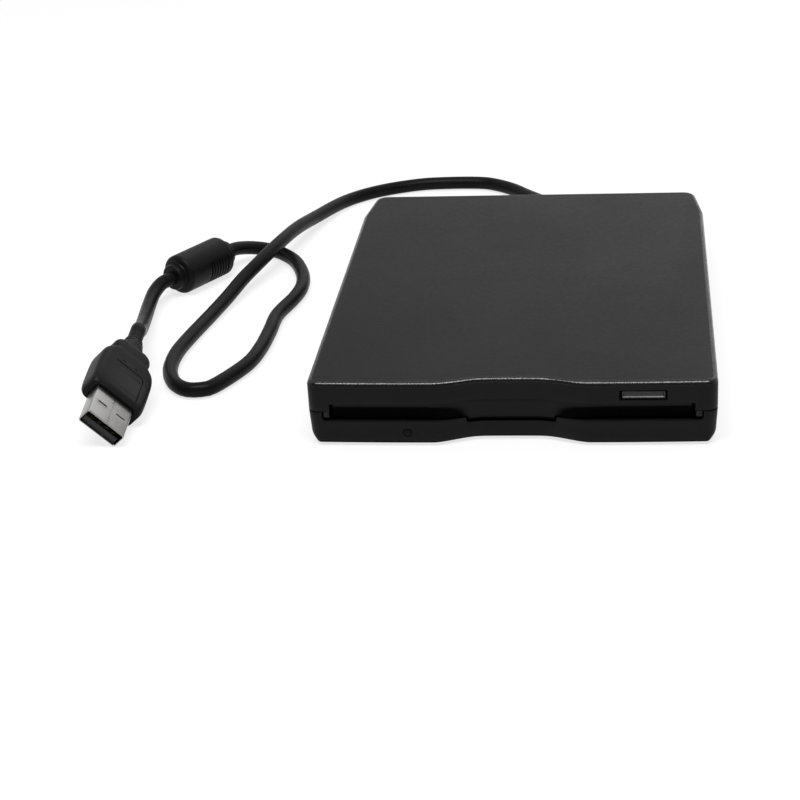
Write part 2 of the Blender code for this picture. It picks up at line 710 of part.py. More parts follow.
def lower_shell():
    """Bottom shell: round-bellied sides, seam tongue, slot lip with finger notch, foot and screw pockets."""
    rings = []
    for step in range(FILLET_STEPS + 2):
        angle = math.pi / 2 * step / (FILLET_STEPS + 1)
        side = BASE_SIDE_FILLET * (1 - math.sin(angle))
        end = BASE_FRONT_FILLET * (1 - math.sin(angle))
        rings.append(case_ring(FOOT_LIFT + BASE_SIDE_FILLET * (1 - math.cos(angle)), side, end))
    rings.append(case_ring(SEAM, 0))
    outer = loft(rings)
    tongue = loft([case_ring(z, CASE_WALL - TONGUE_THICKNESS) for z in (SEAM - TONGUE_RISE,
                                                                        SEAM + TONGUE_RISE)])
    hollow = [
        loft([case_ring(FLOOR_TOP, CASE_WALL + SEAT_GAP, FRONT_WALL),
              case_ring(FOOT_LIFT + BASE_SIDE_FILLET, CASE_WALL, FRONT_WALL),
              case_ring(SEAM + TONGUE_RISE + OVERRUN, CASE_WALL, FRONT_WALL)]),
        lip_cutter(),
        block((-NOTCH_HALF, NOTCH_HALF), (FRONT - OVERRUN, CHASSIS_FRONT - OVERRUN),
              (LIP - NOTCH_DROP, SEAM + OVERRUN / 2)),
        rod((LED_X, FRONT - OVERRUN, LED_Z), (LED_X, CHASSIS_FRONT, LED_Z), LED_RADIUS + BORE_GAP),
        relief_hole(),
    ]
    shell = fused([outer, tongue], hollow)
    bosses = [rod((x, y, FLOOR_TOP - FLOOR_WALL / 2), (x, y, SEAM), SCREW_SHANK_RADIUS + BOSS_WALL)
              for x, y in case_screw_places()]
    combined(shell, bosses, "UNION")
    pockets = []
    for x, y in case_screw_places():
        pockets.append(rod((x, y, FOOT_LIFT - OVERRUN), (x, y, FOOT_LIFT + SCREW_HEAD + SEAT_GAP),
                           SCREW_HEAD_RADIUS + SEAT_GAP))
        pockets.append(rod((x, y, FOOT_LIFT - OVERRUN), (x, y, SEAM + OVERRUN),
                           SCREW_SHANK_RADIUS + BORE_GAP))
    for x, y in foot_places():
        pockets.append(rod((x, y, FOOT_LIFT - OVERRUN), (x, y, FOOT_LIFT + FOOT_POCKET),
                           FOOT_RADIUS + SEAT_GAP, ROUND_SIDES))
    combined(shell, pockets, "DIFFERENCE")
    return piece("lower_shell", shell, BLACK_SHELL, (0, 0, FOOT_LIFT))


def rubber_feet():
    """Four pads in the bottom's pockets."""
    top = FOOT_LIFT + FOOT_POCKET - SEAT_GAP
    edge = FOOT_POCKET / 2
    for name, (x, y) in zip(CORNER_NAMES, foot_places()):
        profile = [(0, FOOT_RADIUS - edge), (edge, FOOT_RADIUS), (top, FOOT_RADIUS)]
        piece("rubber_foot_" + name, turned(profile, (x, y, 0), (0, 0, 1)), BLACK_RUBBER, (x, y, 0))


def screw(x, y, base, length):
    """A pan-head screw whose head is at its base end."""
    profile = [(0, SCREW_HEAD_RADIUS), (SCREW_HEAD, SCREW_HEAD_RADIUS), (SCREW_HEAD, SCREW_SHANK_RADIUS),
               (SCREW_HEAD + length, SCREW_SHANK_RADIUS)]
    return turned(profile, (x, y, base), (0, 0, 1), SMALL_SIDES)


def case_screws():
    """The two screws that hold the shells together from below, behind the mechanism."""
    for side, (x, y) in zip(("left", "right"), case_screw_places()):
        shape = screw(x, y, FOOT_LIFT, SEAM_RISE + SCREW_LENGTH / 2)
        piece("case_screw_" + side, shape, STEEL, (x, y, FOOT_LIFT))


def flap_section(x):
    """Closed YZ outline of the door flap at x."""
    top = WINDOW_TOP - FLAP_TOP_GAP
    share = 1 - eased((abs(x) - BULGE_FLAT) / (BULGE_HALF - BULGE_FLAT))
    lowered = 1 - eased((abs(x) - NOTCH_HALF + SEAT_GAP + BULGE_SIDE) / BULGE_SIDE)
    drop = FLAP_CURL_HEIGHT + BULGE_DROP * lowered
    roll = FLAP_ROLL_SHARE
    front_points = []
    for step in spread(0, 1, 7):
        z = top - drop * step
        face = front_at(x, z) + FLAP_SETBACK
        slant = (math.hypot(step, roll) - roll) / (math.hypot(1, roll) - roll)
        curl = (FLAP_DEPTH - FLAP_THICKNESS / 3) * slant
        front_points.append((face + curl * (1 - share), z))
    rear = front_at(x, top) + FLAP_SETBACK
    rear_points = [(rear + FLAP_DEPTH, top - drop), (rear + FLAP_THICKNESS, top)]
    return [(x, y, z) for y, z in front_points + rear_points]


def door_flap():
    """Spring-loaded door: a slanted strip that follows the recessed front, its bulge, end arms and pins."""
    side = NOTCH_HALF - SEAT_GAP
    right = spread(0, BULGE_FLAT, 4)[:-1] + [BULGE_FLAT, side - BULGE_SIDE, side - BULGE_SIDE / 2, side]
    right += spread(side, RECESS_OUTER, 5)[1:-1] + spread(RECESS_OUTER, BULGE_HALF, 3)[:-1]
    right += spread(BULGE_HALF, FLAP_HALF, 4)
    stations = [-x for x in reversed(right[1:])] + right
    shapes = [loft([flap_section(x) for x in stations])]
    arm_foot = FRONT + FRONT_BOW + FLAP_SETBACK + FLAP_THICKNESS / 2
    outline = [
        (arm_foot, WINDOW_TOP - FLAP_CURL_HEIGHT / 2), (arm_foot + ARM_DEPTH,
                                                        WINDOW_TOP - FLAP_CURL_HEIGHT / 2),
        (FLAP_AXIS_Y + PIN_RADIUS, FLAP_AXIS_Z - PIN_RADIUS), (FLAP_AXIS_Y + PIN_RADIUS,
                                                               FLAP_AXIS_Z + PIN_RADIUS),
        (FLAP_AXIS_Y - PIN_RADIUS, FLAP_AXIS_Z + PIN_RADIUS), (FLAP_AXIS_Y - PIN_RADIUS * 2,
                                                               FLAP_AXIS_Z - PIN_RADIUS),
        (arm_foot + ARM_DEPTH / 3, WINDOW_TOP - FLAP_TOP_GAP),
    ]
    outer = FLAP_HALF - FLAP_SLIT
    for side in (-1, 1):
        limits = sorted((side * (outer - ARM_THICKNESS), side * outer))
        shapes.append(prism(outline, limits, "X"))
        shapes.append(rod((side * (outer - ARM_THICKNESS / 2), FLAP_AXIS_Y, FLAP_AXIS_Z),
                          (side * (outer + PIN_LENGTH), FLAP_AXIS_Y, FLAP_AXIS_Z), PIN_RADIUS))
    piece("door_flap", fused(shapes), BLACK_SHELL, (0, FLAP_AXIS_Y, FLAP_AXIS_Z))


def door_spring():
    """Torsion spring round the flap's left pin."""
    start = -(FLAP_HALF - FLAP_SLIT) - SEAT_GAP - SPRING_WIRE
    radius = PIN_RADIUS + RUN_GAP / 2 + SPRING_WIRE
    points = [Vector((start - p.z, FLAP_AXIS_Y + p.x, FLAP_AXIS_Z - p.y))
              for p in coil_points(radius, DOOR_SPRING_PITCH, DOOR_SPRING_TURNS)]
    piece("door_spring", baked(tube_mesh("spring", points, SPRING_WIRE, 1)), STEEL)


def slot_bezel():
    """Inner frame behind the front: ears that carry the flap's pins, end tabs and the sill under the slot."""
    inner = WINDOW_HALF + RUN_GAP / 2
    front = FRONT + FRONT_BOW + FRONT_WALL + SEAT_GAP
    rear = CHASSIS_FRONT - SEAT_GAP
    ear_top = FLAP_AXIS_Z + PIN_RADIUS + SEAT_GAP
    base = FLOOR_TOP + SEAT_GAP
    shapes = []
    for side in (-1, 1):
        span = sorted((side * inner, side * (inner + EAR_THICKNESS)))
        shapes.append(block(span, (front, rear), (base, ear_top)))
        tab = sorted((side * (inner + SEAT_GAP / 3), side * (inner + TAB_WIDTH)))
        shapes.append(block(tab, (FRONT + FRONT_BOW + TAB_INSET, front + EAR_THICKNESS),
                            (LIP + TAB_LIFT, LIP + TAB_LIFT + TAB_HEIGHT)))
    sill = (rear - SILL_DEPTH, rear)
    shapes.append(block((-inner - EAR_THICKNESS / 2, inner + EAR_THICKNESS / 2), sill,
                        (base, LIP - NOTCH_DROP - SILL_DROP)))
    bore = rod((-HALF_WIDTH, FLAP_AXIS_Y, FLAP_AXIS_Z), (HALF_WIDTH, FLAP_AXIS_Y, FLAP_AXIS_Z),
               PIN_RADIUS + BORE_GAP)
    piece("slot_bezel", fused(shapes, [bore]), BLACK_INNER)


def eject_button():
    """The key at the front right, with a broken edge round its face."""
    span = button_span(0)
    low = SLIDER_BASE
    high = SLIDER_BASE + BUTTON_HEIGHT
    front = front_at(BUTTON_X, low) + BUTTON_INSET
    rings = []
    for y, edge in ((front, BUTTON_EDGE), (front + BUTTON_EDGE, 0), (front + BUTTON_DEPTH, 0)):
        rings.append([(span[0] + edge, y, low + edge), (span[0] + edge, y, high - edge),
                      (span[1] - edge, y, high - edge), (span[1] - edge, y, low + edge)])
    key = loft(rings)
    slot = block((BUTTON_X - TONGUE_WIDTH / 2 - SEAT_GAP, BUTTON_X + TONGUE_WIDTH / 2 + SEAT_GAP),
                 (front + BUTTON_DEPTH / 2, front + BUTTON_DEPTH + OVERRUN), (low - OVERRUN,
                                                                              SLIDER_TOP + SEAT_GAP))
    piece("eject_button", fused([key], [slot]), BLACK_SHELL, (BUTTON_X, front, (low + high) / 2))


def slanted_slot(y, side, low_shift, width):
    """A cutter for the slot that lowers a carrier follower as the slider comes forward."""
    run = EJECT_TRAVEL
    start = Vector((y, FOLLOWER_Z))
    end = Vector((y + run, FOLLOWER_Z - DISK_DROP))
    along = (end - start).normalized()
    across = Vector((-along.y, along.x)) * width
    start -= along * width
    end += along * width
    outline = [start - across, end - across, end + across, start + across]
    limits = sorted((side * (FLANGE_INSIDE - low_shift), side * (FLANGE_OUTSIDE + low_shift)))
    return prism([tuple(point) for point in outline], limits, "X")


def eject_slider():
    """Sheet slider behind the button: front bar, side arms and flanges with slanted slots."""
    sheet = (SLIDER_BASE, SLIDER_TOP)
    bar_rear = SLIDER_FRONT_Y + SLIDER_BAR
    front = front_at(BUTTON_X, SLIDER_BASE) + BUTTON_INSET + BUTTON_DEPTH / 2 + SEAT_GAP
    shapes = [
        block((-FLANGE_OUTSIDE, FLANGE_OUTSIDE), (SLIDER_FRONT_Y, bar_rear), sheet),
        block((BUTTON_X - TONGUE_WIDTH / 2, BUTTON_X + TONGUE_WIDTH / 2), (front, SLIDER_FRONT_Y + SHEET),
              sheet),
    ]
    for side in (-1, 1):
        arm = sorted((side * (FLANGE_OUTSIDE - SLIDER_ARM), side * FLANGE_OUTSIDE))
        shapes.append(block(arm, (bar_rear - SHEET, SLIDER_REAR_Y), sheet))
        flange = sorted((side * FLANGE_INSIDE, side * FLANGE_OUTSIDE))
        shapes.append(block(flange, (SLIDER_FRONT_Y, SLIDER_REAR_Y), (SLIDER_BASE - FLANGE_DROP, SLIDER_TOP)))
    cuts = [slanted_slot(y, side, OVERRUN / 4, SLOT_HALF) for y in FOLLOWER_Y for side in (-1, 1)]
    piece("eject_slider", fused(shapes, cuts), STEEL)


def disk_carrier():
    """Folded sheet tray that the disk slides into, with rails, a head opening and four followers."""
    rail_base = RAIL_TOP - SHEET
    span_y = (CARRIER_FRONT_Y, CARRIER_REAR_Y)
    shapes = [block((-CARRIER_OUTSIDE, CARRIER_OUTSIDE), span_y, (BAY_TOP, CARRIER_TOP))]
    for side in (-1, 1):
        wall = sorted((side * CARRIER_INSIDE, side * CARRIER_OUTSIDE))
        shapes.append(block(wall, span_y, (rail_base, CARRIER_TOP)))
        rail = sorted((side * (CARRIER_OUTSIDE - RAIL_WIDTH), side * CARRIER_OUTSIDE))
        shapes.append(block(rail, span_y, (rail_base, RAIL_TOP)))
        for y in FOLLOWER_Y:
            shapes.append(rod((side * (CARRIER_OUTSIDE - SHEET / 2), y, FOLLOWER_Z),
                              (side * (CHASSIS_OUTSIDE - SEAT_GAP), y, FOLLOWER_Z), FOLLOWER_RADIUS))
    cuts = [
        block((-HEAD_CUT_HALF, HEAD_CUT_HALF), (HEAD_CUT_Y, CARRIER_REAR_Y + OVERRUN),
              (BAY_TOP - OVERRUN / 4, CARRIER_TOP + OVERRUN)),
        block((HEAD_CUT_HALF - SHEET, LEVER_X - SEAT_GAP), (LEVER_PIN_Y - LEVER_WIDTH,
                                                            CARRIER_REAR_Y + OVERRUN),
              (BAY_TOP - OVERRUN / 4, CARRIER_TOP + OVERRUN)),
    ]
    piece("disk_carrier", fused(shapes, cuts), STEEL)


def mechanism_frame():
    """Chassis tray: base with openings, slotted side walls, lever post, motor and screw brackets."""
    base = (CHASSIS_BASE, CHASSIS_TOP)
    span_y = (CHASSIS_FRONT, CHASSIS_REAR)
    wall_top = LID_BASE - SEAT_GAP
    shapes = [block((-CHASSIS_OUTSIDE, CHASSIS_OUTSIDE), span_y, base)]
    for side in (-1, 1):
        wall = sorted((side * CHASSIS_INSIDE, side * CHASSIS_OUTSIDE))
        shapes.append(block(wall, span_y, (CHASSIS_BASE, wall_top)))
    shapes.append(block((-CHASSIS_OUTSIDE, CHASSIS_OUTSIDE), (CHASSIS_REAR - CHASSIS_WALL, CHASSIS_REAR),
                        (CHASSIS_BASE, SCREW_Z)))
    shapes.append(rod((LEVER_X, LEVER_Y, CHASSIS_BASE), (LEVER_X, LEVER_Y, LEVER_TOP + RUN_GAP),
                      LEVER_POST_RADIUS))
    screw_span = (SCREW_X - MOTOR_RADIUS, SCREW_X + MOTOR_RADIUS)
    for y in (SCREW_FRONT_Y, SCREW_REAR_Y):
        shapes.append(block(screw_span, (y - BRACKET_THICKNESS, y),
                            (CHASSIS_BASE, SCREW_Z + MOTOR_RADIUS * 0.6)))
    for y in (ROD_FRONT_Y, ROD_REAR_Y):
        shapes.append(block((ROD_X - ROD_RADIUS * 2, ROD_X + ROD_RADIUS * 2), (y - BRACKET_THICKNESS, y),
                            (CHASSIS_BASE, CHASSIS_TOP + ROD_LIFT)))
    for x, y in lid_screw_places():
        shapes.append(rod((x, y, CHASSIS_BASE), (x, y, LID_BASE - SEAT_GAP), SCREW_HEAD_RADIUS))
    stop_y = SLIDER_REAR_Y + 2 * SEAT_GAP + 2 * EJECT_SPRING_WIRE + EJECT_SPRING_LENGTH
    for side in (-1, 1):
        span = sorted((side * (eject_spring_x() - SLIDER_ARM / 4), side * (CHASSIS_INSIDE + SEAT_GAP)))
        shapes.append(block(span, (stop_y, stop_y + SHEET * 2), (SLIDER_BASE - SHEET, wall_top)))
    cuts = [
        rod((SCREW_X, SCREW_FRONT_Y - OVERRUN, SCREW_Z), (SCREW_X, SCREW_REAR_Y + OVERRUN, SCREW_Z),
            SCREW_RADIUS + BORE_GAP),
        rod((0, SPINDLE_Y, CHASSIS_BASE - OVERRUN), (0, SPINDLE_Y, CHASSIS_TOP + OVERRUN),
            SHAFT_RADIUS + RUN_GAP * 2),
        block((ROD_X - sleeve_radius() - RUN_GAP, CARRIAGE_HALF + RUN_GAP),
              (ROD_FRONT_Y, ROD_REAR_Y - OVERRUN),
              (CHASSIS_BASE - OVERRUN, CHASSIS_TOP + OVERRUN)),
        rod((ROD_X, ROD_FRONT_Y - OVERRUN, rod_height()), (ROD_X, ROD_REAR_Y + OVERRUN, rod_height()),
            ROD_RADIUS + BORE_GAP),
    ]
    for side in (-1, 1):
        limits = sorted((side * (CHASSIS_INSIDE - OVERRUN / 4), side * (CHASSIS_OUTSIDE + OVERRUN)))
        for y in FOLLOWER_Y:
            cuts.append(block(limits, (y - SLOT_HALF, y + SLOT_HALF),
                              (FOLLOWER_Z - DISK_DROP - SLOT_HALF, wall_top + OVERRUN)))
    for x, y in lid_screw_places():
        cuts.append(rod((x, y, LID_TOP - SCREW_LENGTH), (x, y, LID_TOP), SCREW_SHANK_RADIUS + BORE_GAP))
    piece("mechanism_frame", fused(shapes, cuts), STEEL)


def rod_height():
    """Height of the guide rod's middle, with its sleeve kept under a seated disk."""
    return CHASSIS_TOP + ROD_LIFT - ROD_RADIUS - SLEEVE_WALL


def sleeve_radius():
    """Outer radius of the carriage's sleeve on the guide rod."""
    return ROD_RADIUS + BORE_GAP + SLEEVE_WALL


def mechanism_lid():
    """Sheet lid over the mechanism with two lightening openings and a folded rear edge."""
    span_y = (CHASSIS_FRONT + FRONT_ROOM * 0.7, CHASSIS_REAR)
    sheet = block((-CHASSIS_OUTSIDE, CHASSIS_OUTSIDE), span_y, (LID_BASE, LID_TOP))
    cuts = [
        block((-HEAD_CUT_HALF, HEAD_CUT_HALF), (HEAD_CUT_Y, HEAD_Y + POST_BACKSET),
              (LID_BASE - OVERRUN, LID_TOP + OVERRUN)),
        rod((0, SPINDLE_Y, LID_BASE - OVERRUN), (0, SPINDLE_Y, LID_TOP + OVERRUN), ROTOR_RADIUS, ROUND_SIDES),
    ]
    for x, y in lid_screw_places():
        cuts.append(rod((x, y, LID_BASE - OVERRUN), (x, y, LID_TOP + OVERRUN), SCREW_SHANK_RADIUS + BORE_GAP))
    piece("mechanism_lid", fused([sheet], cuts), STEEL)
    for side, (x, y) in zip(("left", "right"), lid_screw_places()):
        head = LID_TOP + SEAT_GAP
        profile = [(0, SCREW_HEAD_RADIUS * LID_HEAD_SHARE), (SHEET / 2, SCREW_HEAD_RADIUS),
                   (SHEET / 2, SCREW_SHANK_RADIUS),
                   (SCREW_LENGTH, SCREW_SHANK_RADIUS)]
        piece("lid_screw_" + side, turned(profile, (x, y, head + SHEET / 2), (0, 0, -1), SMALL_SIDES), STEEL)


def lid_screw_places():
    """Where the lid's rear screws stand, over the frame's rear posts."""
    x = CHASSIS_INSIDE - LID_SCREW_INSET
    y = CHASSIS_REAR - LID_SCREW_INSET
    return [(-x, y), (x, y)]


def spindle():
    """Rotor with its hub, centring pin and drive pin, and the toothed stator round it."""
    base = CHASSIS_TOP + ROTOR_LIFT
    profile = [(0, ROTOR_RADIUS), (ROTOR_HEIGHT, ROTOR_RADIUS), (ROTOR_HEIGHT, HUB_RADIUS),
               (ROTOR_HEIGHT + HUB_HEIGHT, HUB_RADIUS), (ROTOR_HEIGHT + HUB_HEIGHT, CENTRE_PIN_RADIUS),
               (ROTOR_HEIGHT + HUB_HEIGHT + CENTRE_PIN_HEIGHT, CENTRE_PIN_RADIUS * 0.8)]
    rotor = turned(profile, (0, SPINDLE_Y, base), (0, 0, 1))
    shaft = rod((0, SPINDLE_Y, CHASSIS_BASE), (0, SPINDLE_Y, base + ROTOR_HEIGHT / 2), SHAFT_RADIUS)
    pin = rod((DRIVE_PIN_OFFSET, SPINDLE_Y, base + ROTOR_HEIGHT / 2),
              (DRIVE_PIN_OFFSET, SPINDLE_Y, base + ROTOR_HEIGHT + HUB_HEIGHT), DRIVE_PIN_RADIUS)
    piece("spindle_rotor", fused([rotor, shaft, pin]), STEEL, (0, SPINDLE_Y, base))
    plate = (CHASSIS_TOP + SEAT_GAP, CHASSIS_TOP + SEAT_GAP + STATOR_SHEET)
    inner = STATOR_RADIUS - RUN_GAP * 2
    ring = block((-STATOR_WIDTH, STATOR_WIDTH), (SPINDLE_Y - STATOR_RADIUS, SPINDLE_Y + STATOR_RADIUS), plate)
    centre = (0, SPINDLE_Y, plate[0] - OVERRUN)
    bore = rod(centre, (0, SPINDLE_Y, plate[1] + OVERRUN), inner, ROUND_SIDES * 2)
    coils = []
    for index in range(STATOR_TEETH):
        angle = math.tau * (index + 0.5) / STATOR_TEETH
        if abs(math.sin(angle)) > STATOR_TOOTH_SHARE:
            continue
        middle = Vector((math.cos(angle), math.sin(angle), 0)) * (STATOR_RADIUS + STATOR_TOOTH)
        middle += Vector((0, SPINDLE_Y, plate[0]))
        coils.append(turned([(0, STATOR_TOOTH / 2), (STATOR_SHEET * 2, STATOR_TOOTH / 2)], middle,
                            (0, 0, 1), SMALL_SIDES))
    piece("spindle_stator", fused([ring] + coils, [bore]), GREEN_BOARD)


def head_carriage():
    """Carriage with the lower head's bed, its sleeve on the rod, the screw follower and the arm's post."""
    floor = CHASSIS_TOP + SEAT_GAP
    front = HEAD_Y - CARRIAGE_FRONT_REACH
    post_front = LEADING_EDGE + POST_BACKSET
    post_rear = post_front + POST_DEPTH
    pivot_z = BAY_TOP + HINGE_RADIUS
    height = rod_height()
    shapes = [
        block((-CARRIAGE_HALF, CARRIAGE_HALF), (front, post_rear), (floor, floor + CARRIAGE_FLOOR)),
        block((-CARRIAGE_HALF, CARRIAGE_HALF), (post_front + POST_DEPTH / 2, post_rear),
              (floor, pivot_z - HINGE_RADIUS - SEAT_GAP)),
        block((ROD_X, -CARRIAGE_HALF + SHEET), (HEAD_Y, HEAD_Y + HEAD_SIZE * 2),
              (floor, floor + CARRIAGE_FLOOR)),
        block((CARRIAGE_HALF - SHEET, SCREW_X + SCREW_RADIUS), (post_front + POST_DEPTH / 2, post_rear),
              (floor + CARRIAGE_FLOOR, SCREW_Z - SCREW_RADIUS - RUN_GAP)),
        rod((ROD_X, HEAD_Y, height), (ROD_X, HEAD_Y + HEAD_SIZE * 2, height), sleeve_radius(), ROUND_SIDES),
    ]
    for side in (-1, 1):
        ear = sorted((side * (CARRIAGE_HALF - CHASSIS_WALL), side * CARRIAGE_HALF))
        shapes.append(block(ear, (post_front + POST_DEPTH / 2, post_rear), (floor, pivot_z + HINGE_RADIUS)))
    cuts = [
        rod((ROD_X, front - OVERRUN, height), (ROD_X, post_rear, height), ROD_RADIUS + BORE_GAP),
        rod((-HALF_WIDTH / 2, arm_pivot().y, pivot_z), (HALF_WIDTH / 2, arm_pivot().y, pivot_z),
            HINGE_RADIUS / 2 + BORE_GAP),
    ]
    piece("head_carriage", fused(shapes, cuts), GREY_RESIN, (0, HEAD_Y, floor))
    bed = floor + CARRIAGE_FLOOR + SEAT_GAP
    piece("lower_head", head_block(bed, RAIL_TOP + DISK_PLAY / 3), WHITE_RESIN, (0, HEAD_Y, bed))


def head_block(base, top):
    """A square head pad with a raised round nose."""
    half = HEAD_SIZE / 2
    rise = top - base
    rings = []
    for share, inset_share in ((0, 0), (0.6, 0), (1, 0.25)):
        size = half * (1 - inset_share)
        z = base + rise * share
        rings.append([(-size, HEAD_Y - size, z), (size, HEAD_Y - size, z), (size, HEAD_Y + size, z),
                      (-size, HEAD_Y + size, z)])
    return loft(rings)


def arm_pivot():
    """Where the upper head arm turns, at rest."""
    return Vector((0, LEADING_EDGE + POST_BACKSET + POST_DEPTH * 0.75, BAY_TOP + HINGE_RADIUS))


def upper_arm():
    """Upper head arm on its cross pin, and the head under its nose."""
    pivot = arm_pivot()
    base = BAY_TOP + HEAD_THICKNESS / 2 + ARM_LIFT
    half = ARM_WIDTH / 2
    nose = HEAD_Y - HEAD_SIZE / 2 - SHEET
    outline = [(-half, pivot.y), (-half, HEAD_Y + HEAD_SIZE * 2), (-half * 0.8, nose + SHEET),
               (-half * 0.5, nose),
               (half * 0.5, nose), (half * 0.8, nose + SHEET), (half, HEAD_Y + HEAD_SIZE * 2), (half,
                                                                                                pivot.y)]
    shapes = [
        prism(outline, (base, base + ARM_THICK)),
        rod((-half, pivot.y, pivot.z), (half, pivot.y, pivot.z), HINGE_RADIUS),
        rod((-CARRIAGE_HALF + SEAT_GAP / 2, pivot.y, pivot.z),
            (CARRIAGE_HALF - SEAT_GAP / 2, pivot.y, pivot.z), HINGE_RADIUS / 2),
    ]
    piece("upper_head_arm", fused(shapes), GREY_RESIN, tuple(pivot))
    piece("upper_head", head_block(base - SEAT_GAP / 2, BAY_TOP + SEAT_GAP / 3), WHITE_RESIN,
          (0, HEAD_Y, base))


def head_drive():
    """Guide rod, grooved lead screw and its stepper motor."""
    height = rod_height()
    piece("guide_rod", rod((ROD_X, ROD_FRONT_Y - BRACKET_THICKNESS, height), (ROD_X, ROD_REAR_Y, height),
                           ROD_RADIUS), STEEL)
    start = SCREW_FRONT_Y - BRACKET_THICKNESS
    end = SCREW_REAR_Y + SEAT_GAP
    profile = [(0, SCREW_RADIUS)]
    turns = int((SCREW_REAR_Y - BRACKET_THICKNESS - SCREW_FRONT_Y) / (SCREW_LEAD / 2))
    for turn in range(1, turns):
        middle = BRACKET_THICKNESS + SEAT_GAP + turn * SCREW_LEAD / 2
        profile += [(middle - SCREW_GROOVE * 2, SCREW_RADIUS), (middle, SCREW_RADIUS - SCREW_GROOVE),
                    (middle + SCREW_GROOVE * 2, SCREW_RADIUS)]
    profile.append((end - start, SCREW_RADIUS))
    screw_shape = turned(profile, (SCREW_X, start, SCREW_Z), (0, 1, 0), SMALL_SIDES)
    piece("lead_screw", screw_shape, STEEL, (SCREW_X, start, SCREW_Z))
    body = end + SEAT_GAP
    profile = [(0, MOTOR_RADIUS * 0.9), (SHEET, MOTOR_RADIUS), (MOTOR_LENGTH, MOTOR_RADIUS)]
    piece("stepper_motor", turned(profile, (SCREW_X, body, SCREW_Z), (0, 1, 0)), STEEL,
          (SCREW_X, body, SCREW_Z))


def shutter_lever():
    """Lever that draws the disk's shutter aside, its spring and its post's clip."""
    post = Vector((LEVER_X, LEVER_Y, 0))
    pin = Vector((LEVER_PIN_X, LEVER_PIN_Y, 0))
    along = (pin - post).normalized()
    across = Vector((-along.y, along.x, 0))
    half = LEVER_WIDTH / 2
    tip = half * 0.6
    outline = [post - along * half - across * tip, post - along * half + across * tip, post + across * half,
               pin + across * tip, pin + along * tip + across * tip / 2, pin + along * tip - across * tip / 2,
               pin - across * tip, post - across * half]
    plate = prism([(point.x, point.y) for point in outline], (LEVER_BASE, LEVER_TOP))
    stem = rod((pin.x, pin.y, RAIL_TOP + DISK_PLAY), (pin.x, pin.y, LEVER_TOP - SHEET / 2), LEVER_PIN_RADIUS)
    bore = rod((post.x, post.y, LEVER_BASE - OVERRUN), (post.x, post.y, LEVER_TOP + OVERRUN),
               LEVER_POST_RADIUS + BORE_GAP)
    piece("shutter_lever", fused([plate, stem], [bore]), STEEL, (post.x, post.y, LEVER_BASE))
    radius = LEVER_POST_RADIUS + RUN_GAP / 2 + LEVER_SPRING_WIRE
    pitch = (LEVER_BASE - CHASSIS_TOP - 2 * SEAT_GAP - 2 * LEVER_SPRING_WIRE) / LEVER_SPRING_TURNS / 2
    base = LEVER_BASE - SEAT_GAP - LEVER_SPRING_WIRE - pitch * LEVER_SPRING_TURNS
    points = [Vector((post.x, post.y, base)) + p for p in coil_points(radius, pitch, LEVER_SPRING_TURNS)]
    piece("lever_spring", baked(tube_mesh("spring", points, LEVER_SPRING_WIRE, 1)), STEEL)


def eject_springs():
    """Two compression springs behind the slider, which push it and the button forward."""
    x = eject_spring_x()
    z = SLIDER_BASE + SHEET / 2
    for name, side in (("left", -1), ("right", 1)):
        start = SLIDER_REAR_Y + SEAT_GAP + EJECT_SPRING_WIRE
        pitch = EJECT_SPRING_LENGTH / EJECT_SPRING_TURNS
        radius = EJECT_SPRING_RADIUS - EJECT_SPRING_WIRE - SHEET / 2
        points = [Vector((side * x + p.x, start + p.z, z + p.y)) for p in coil_points(radius, pitch,
                                                                                      EJECT_SPRING_TURNS)]
        piece("eject_spring_" + name, baked(tube_mesh("spring", points, EJECT_SPRING_WIRE, 1)), STEEL)


def eject_spring_x():
    """How far out the eject springs lie."""
    return FLANGE_INSIDE - SLIDER_ARM / 2


def ribbon(centre, limits, thickness):
    """A flat cable: a strip along an XZ path, as wide as the limits along Y."""
    left = []
    right = []
    for index, point in enumerate(centre):
        along = centre[min(index + 1, len(centre) - 1)] - centre[max(index - 1, 0)]
        across = Vector((-along.z, 0, along.x)).normalized() * thickness / 2
        left.append(point + across)
        right.append(point - across)
    outline = [(point.x, point.z) for point in left + right[::-1]]
    return prism(outline, limits, "Y")


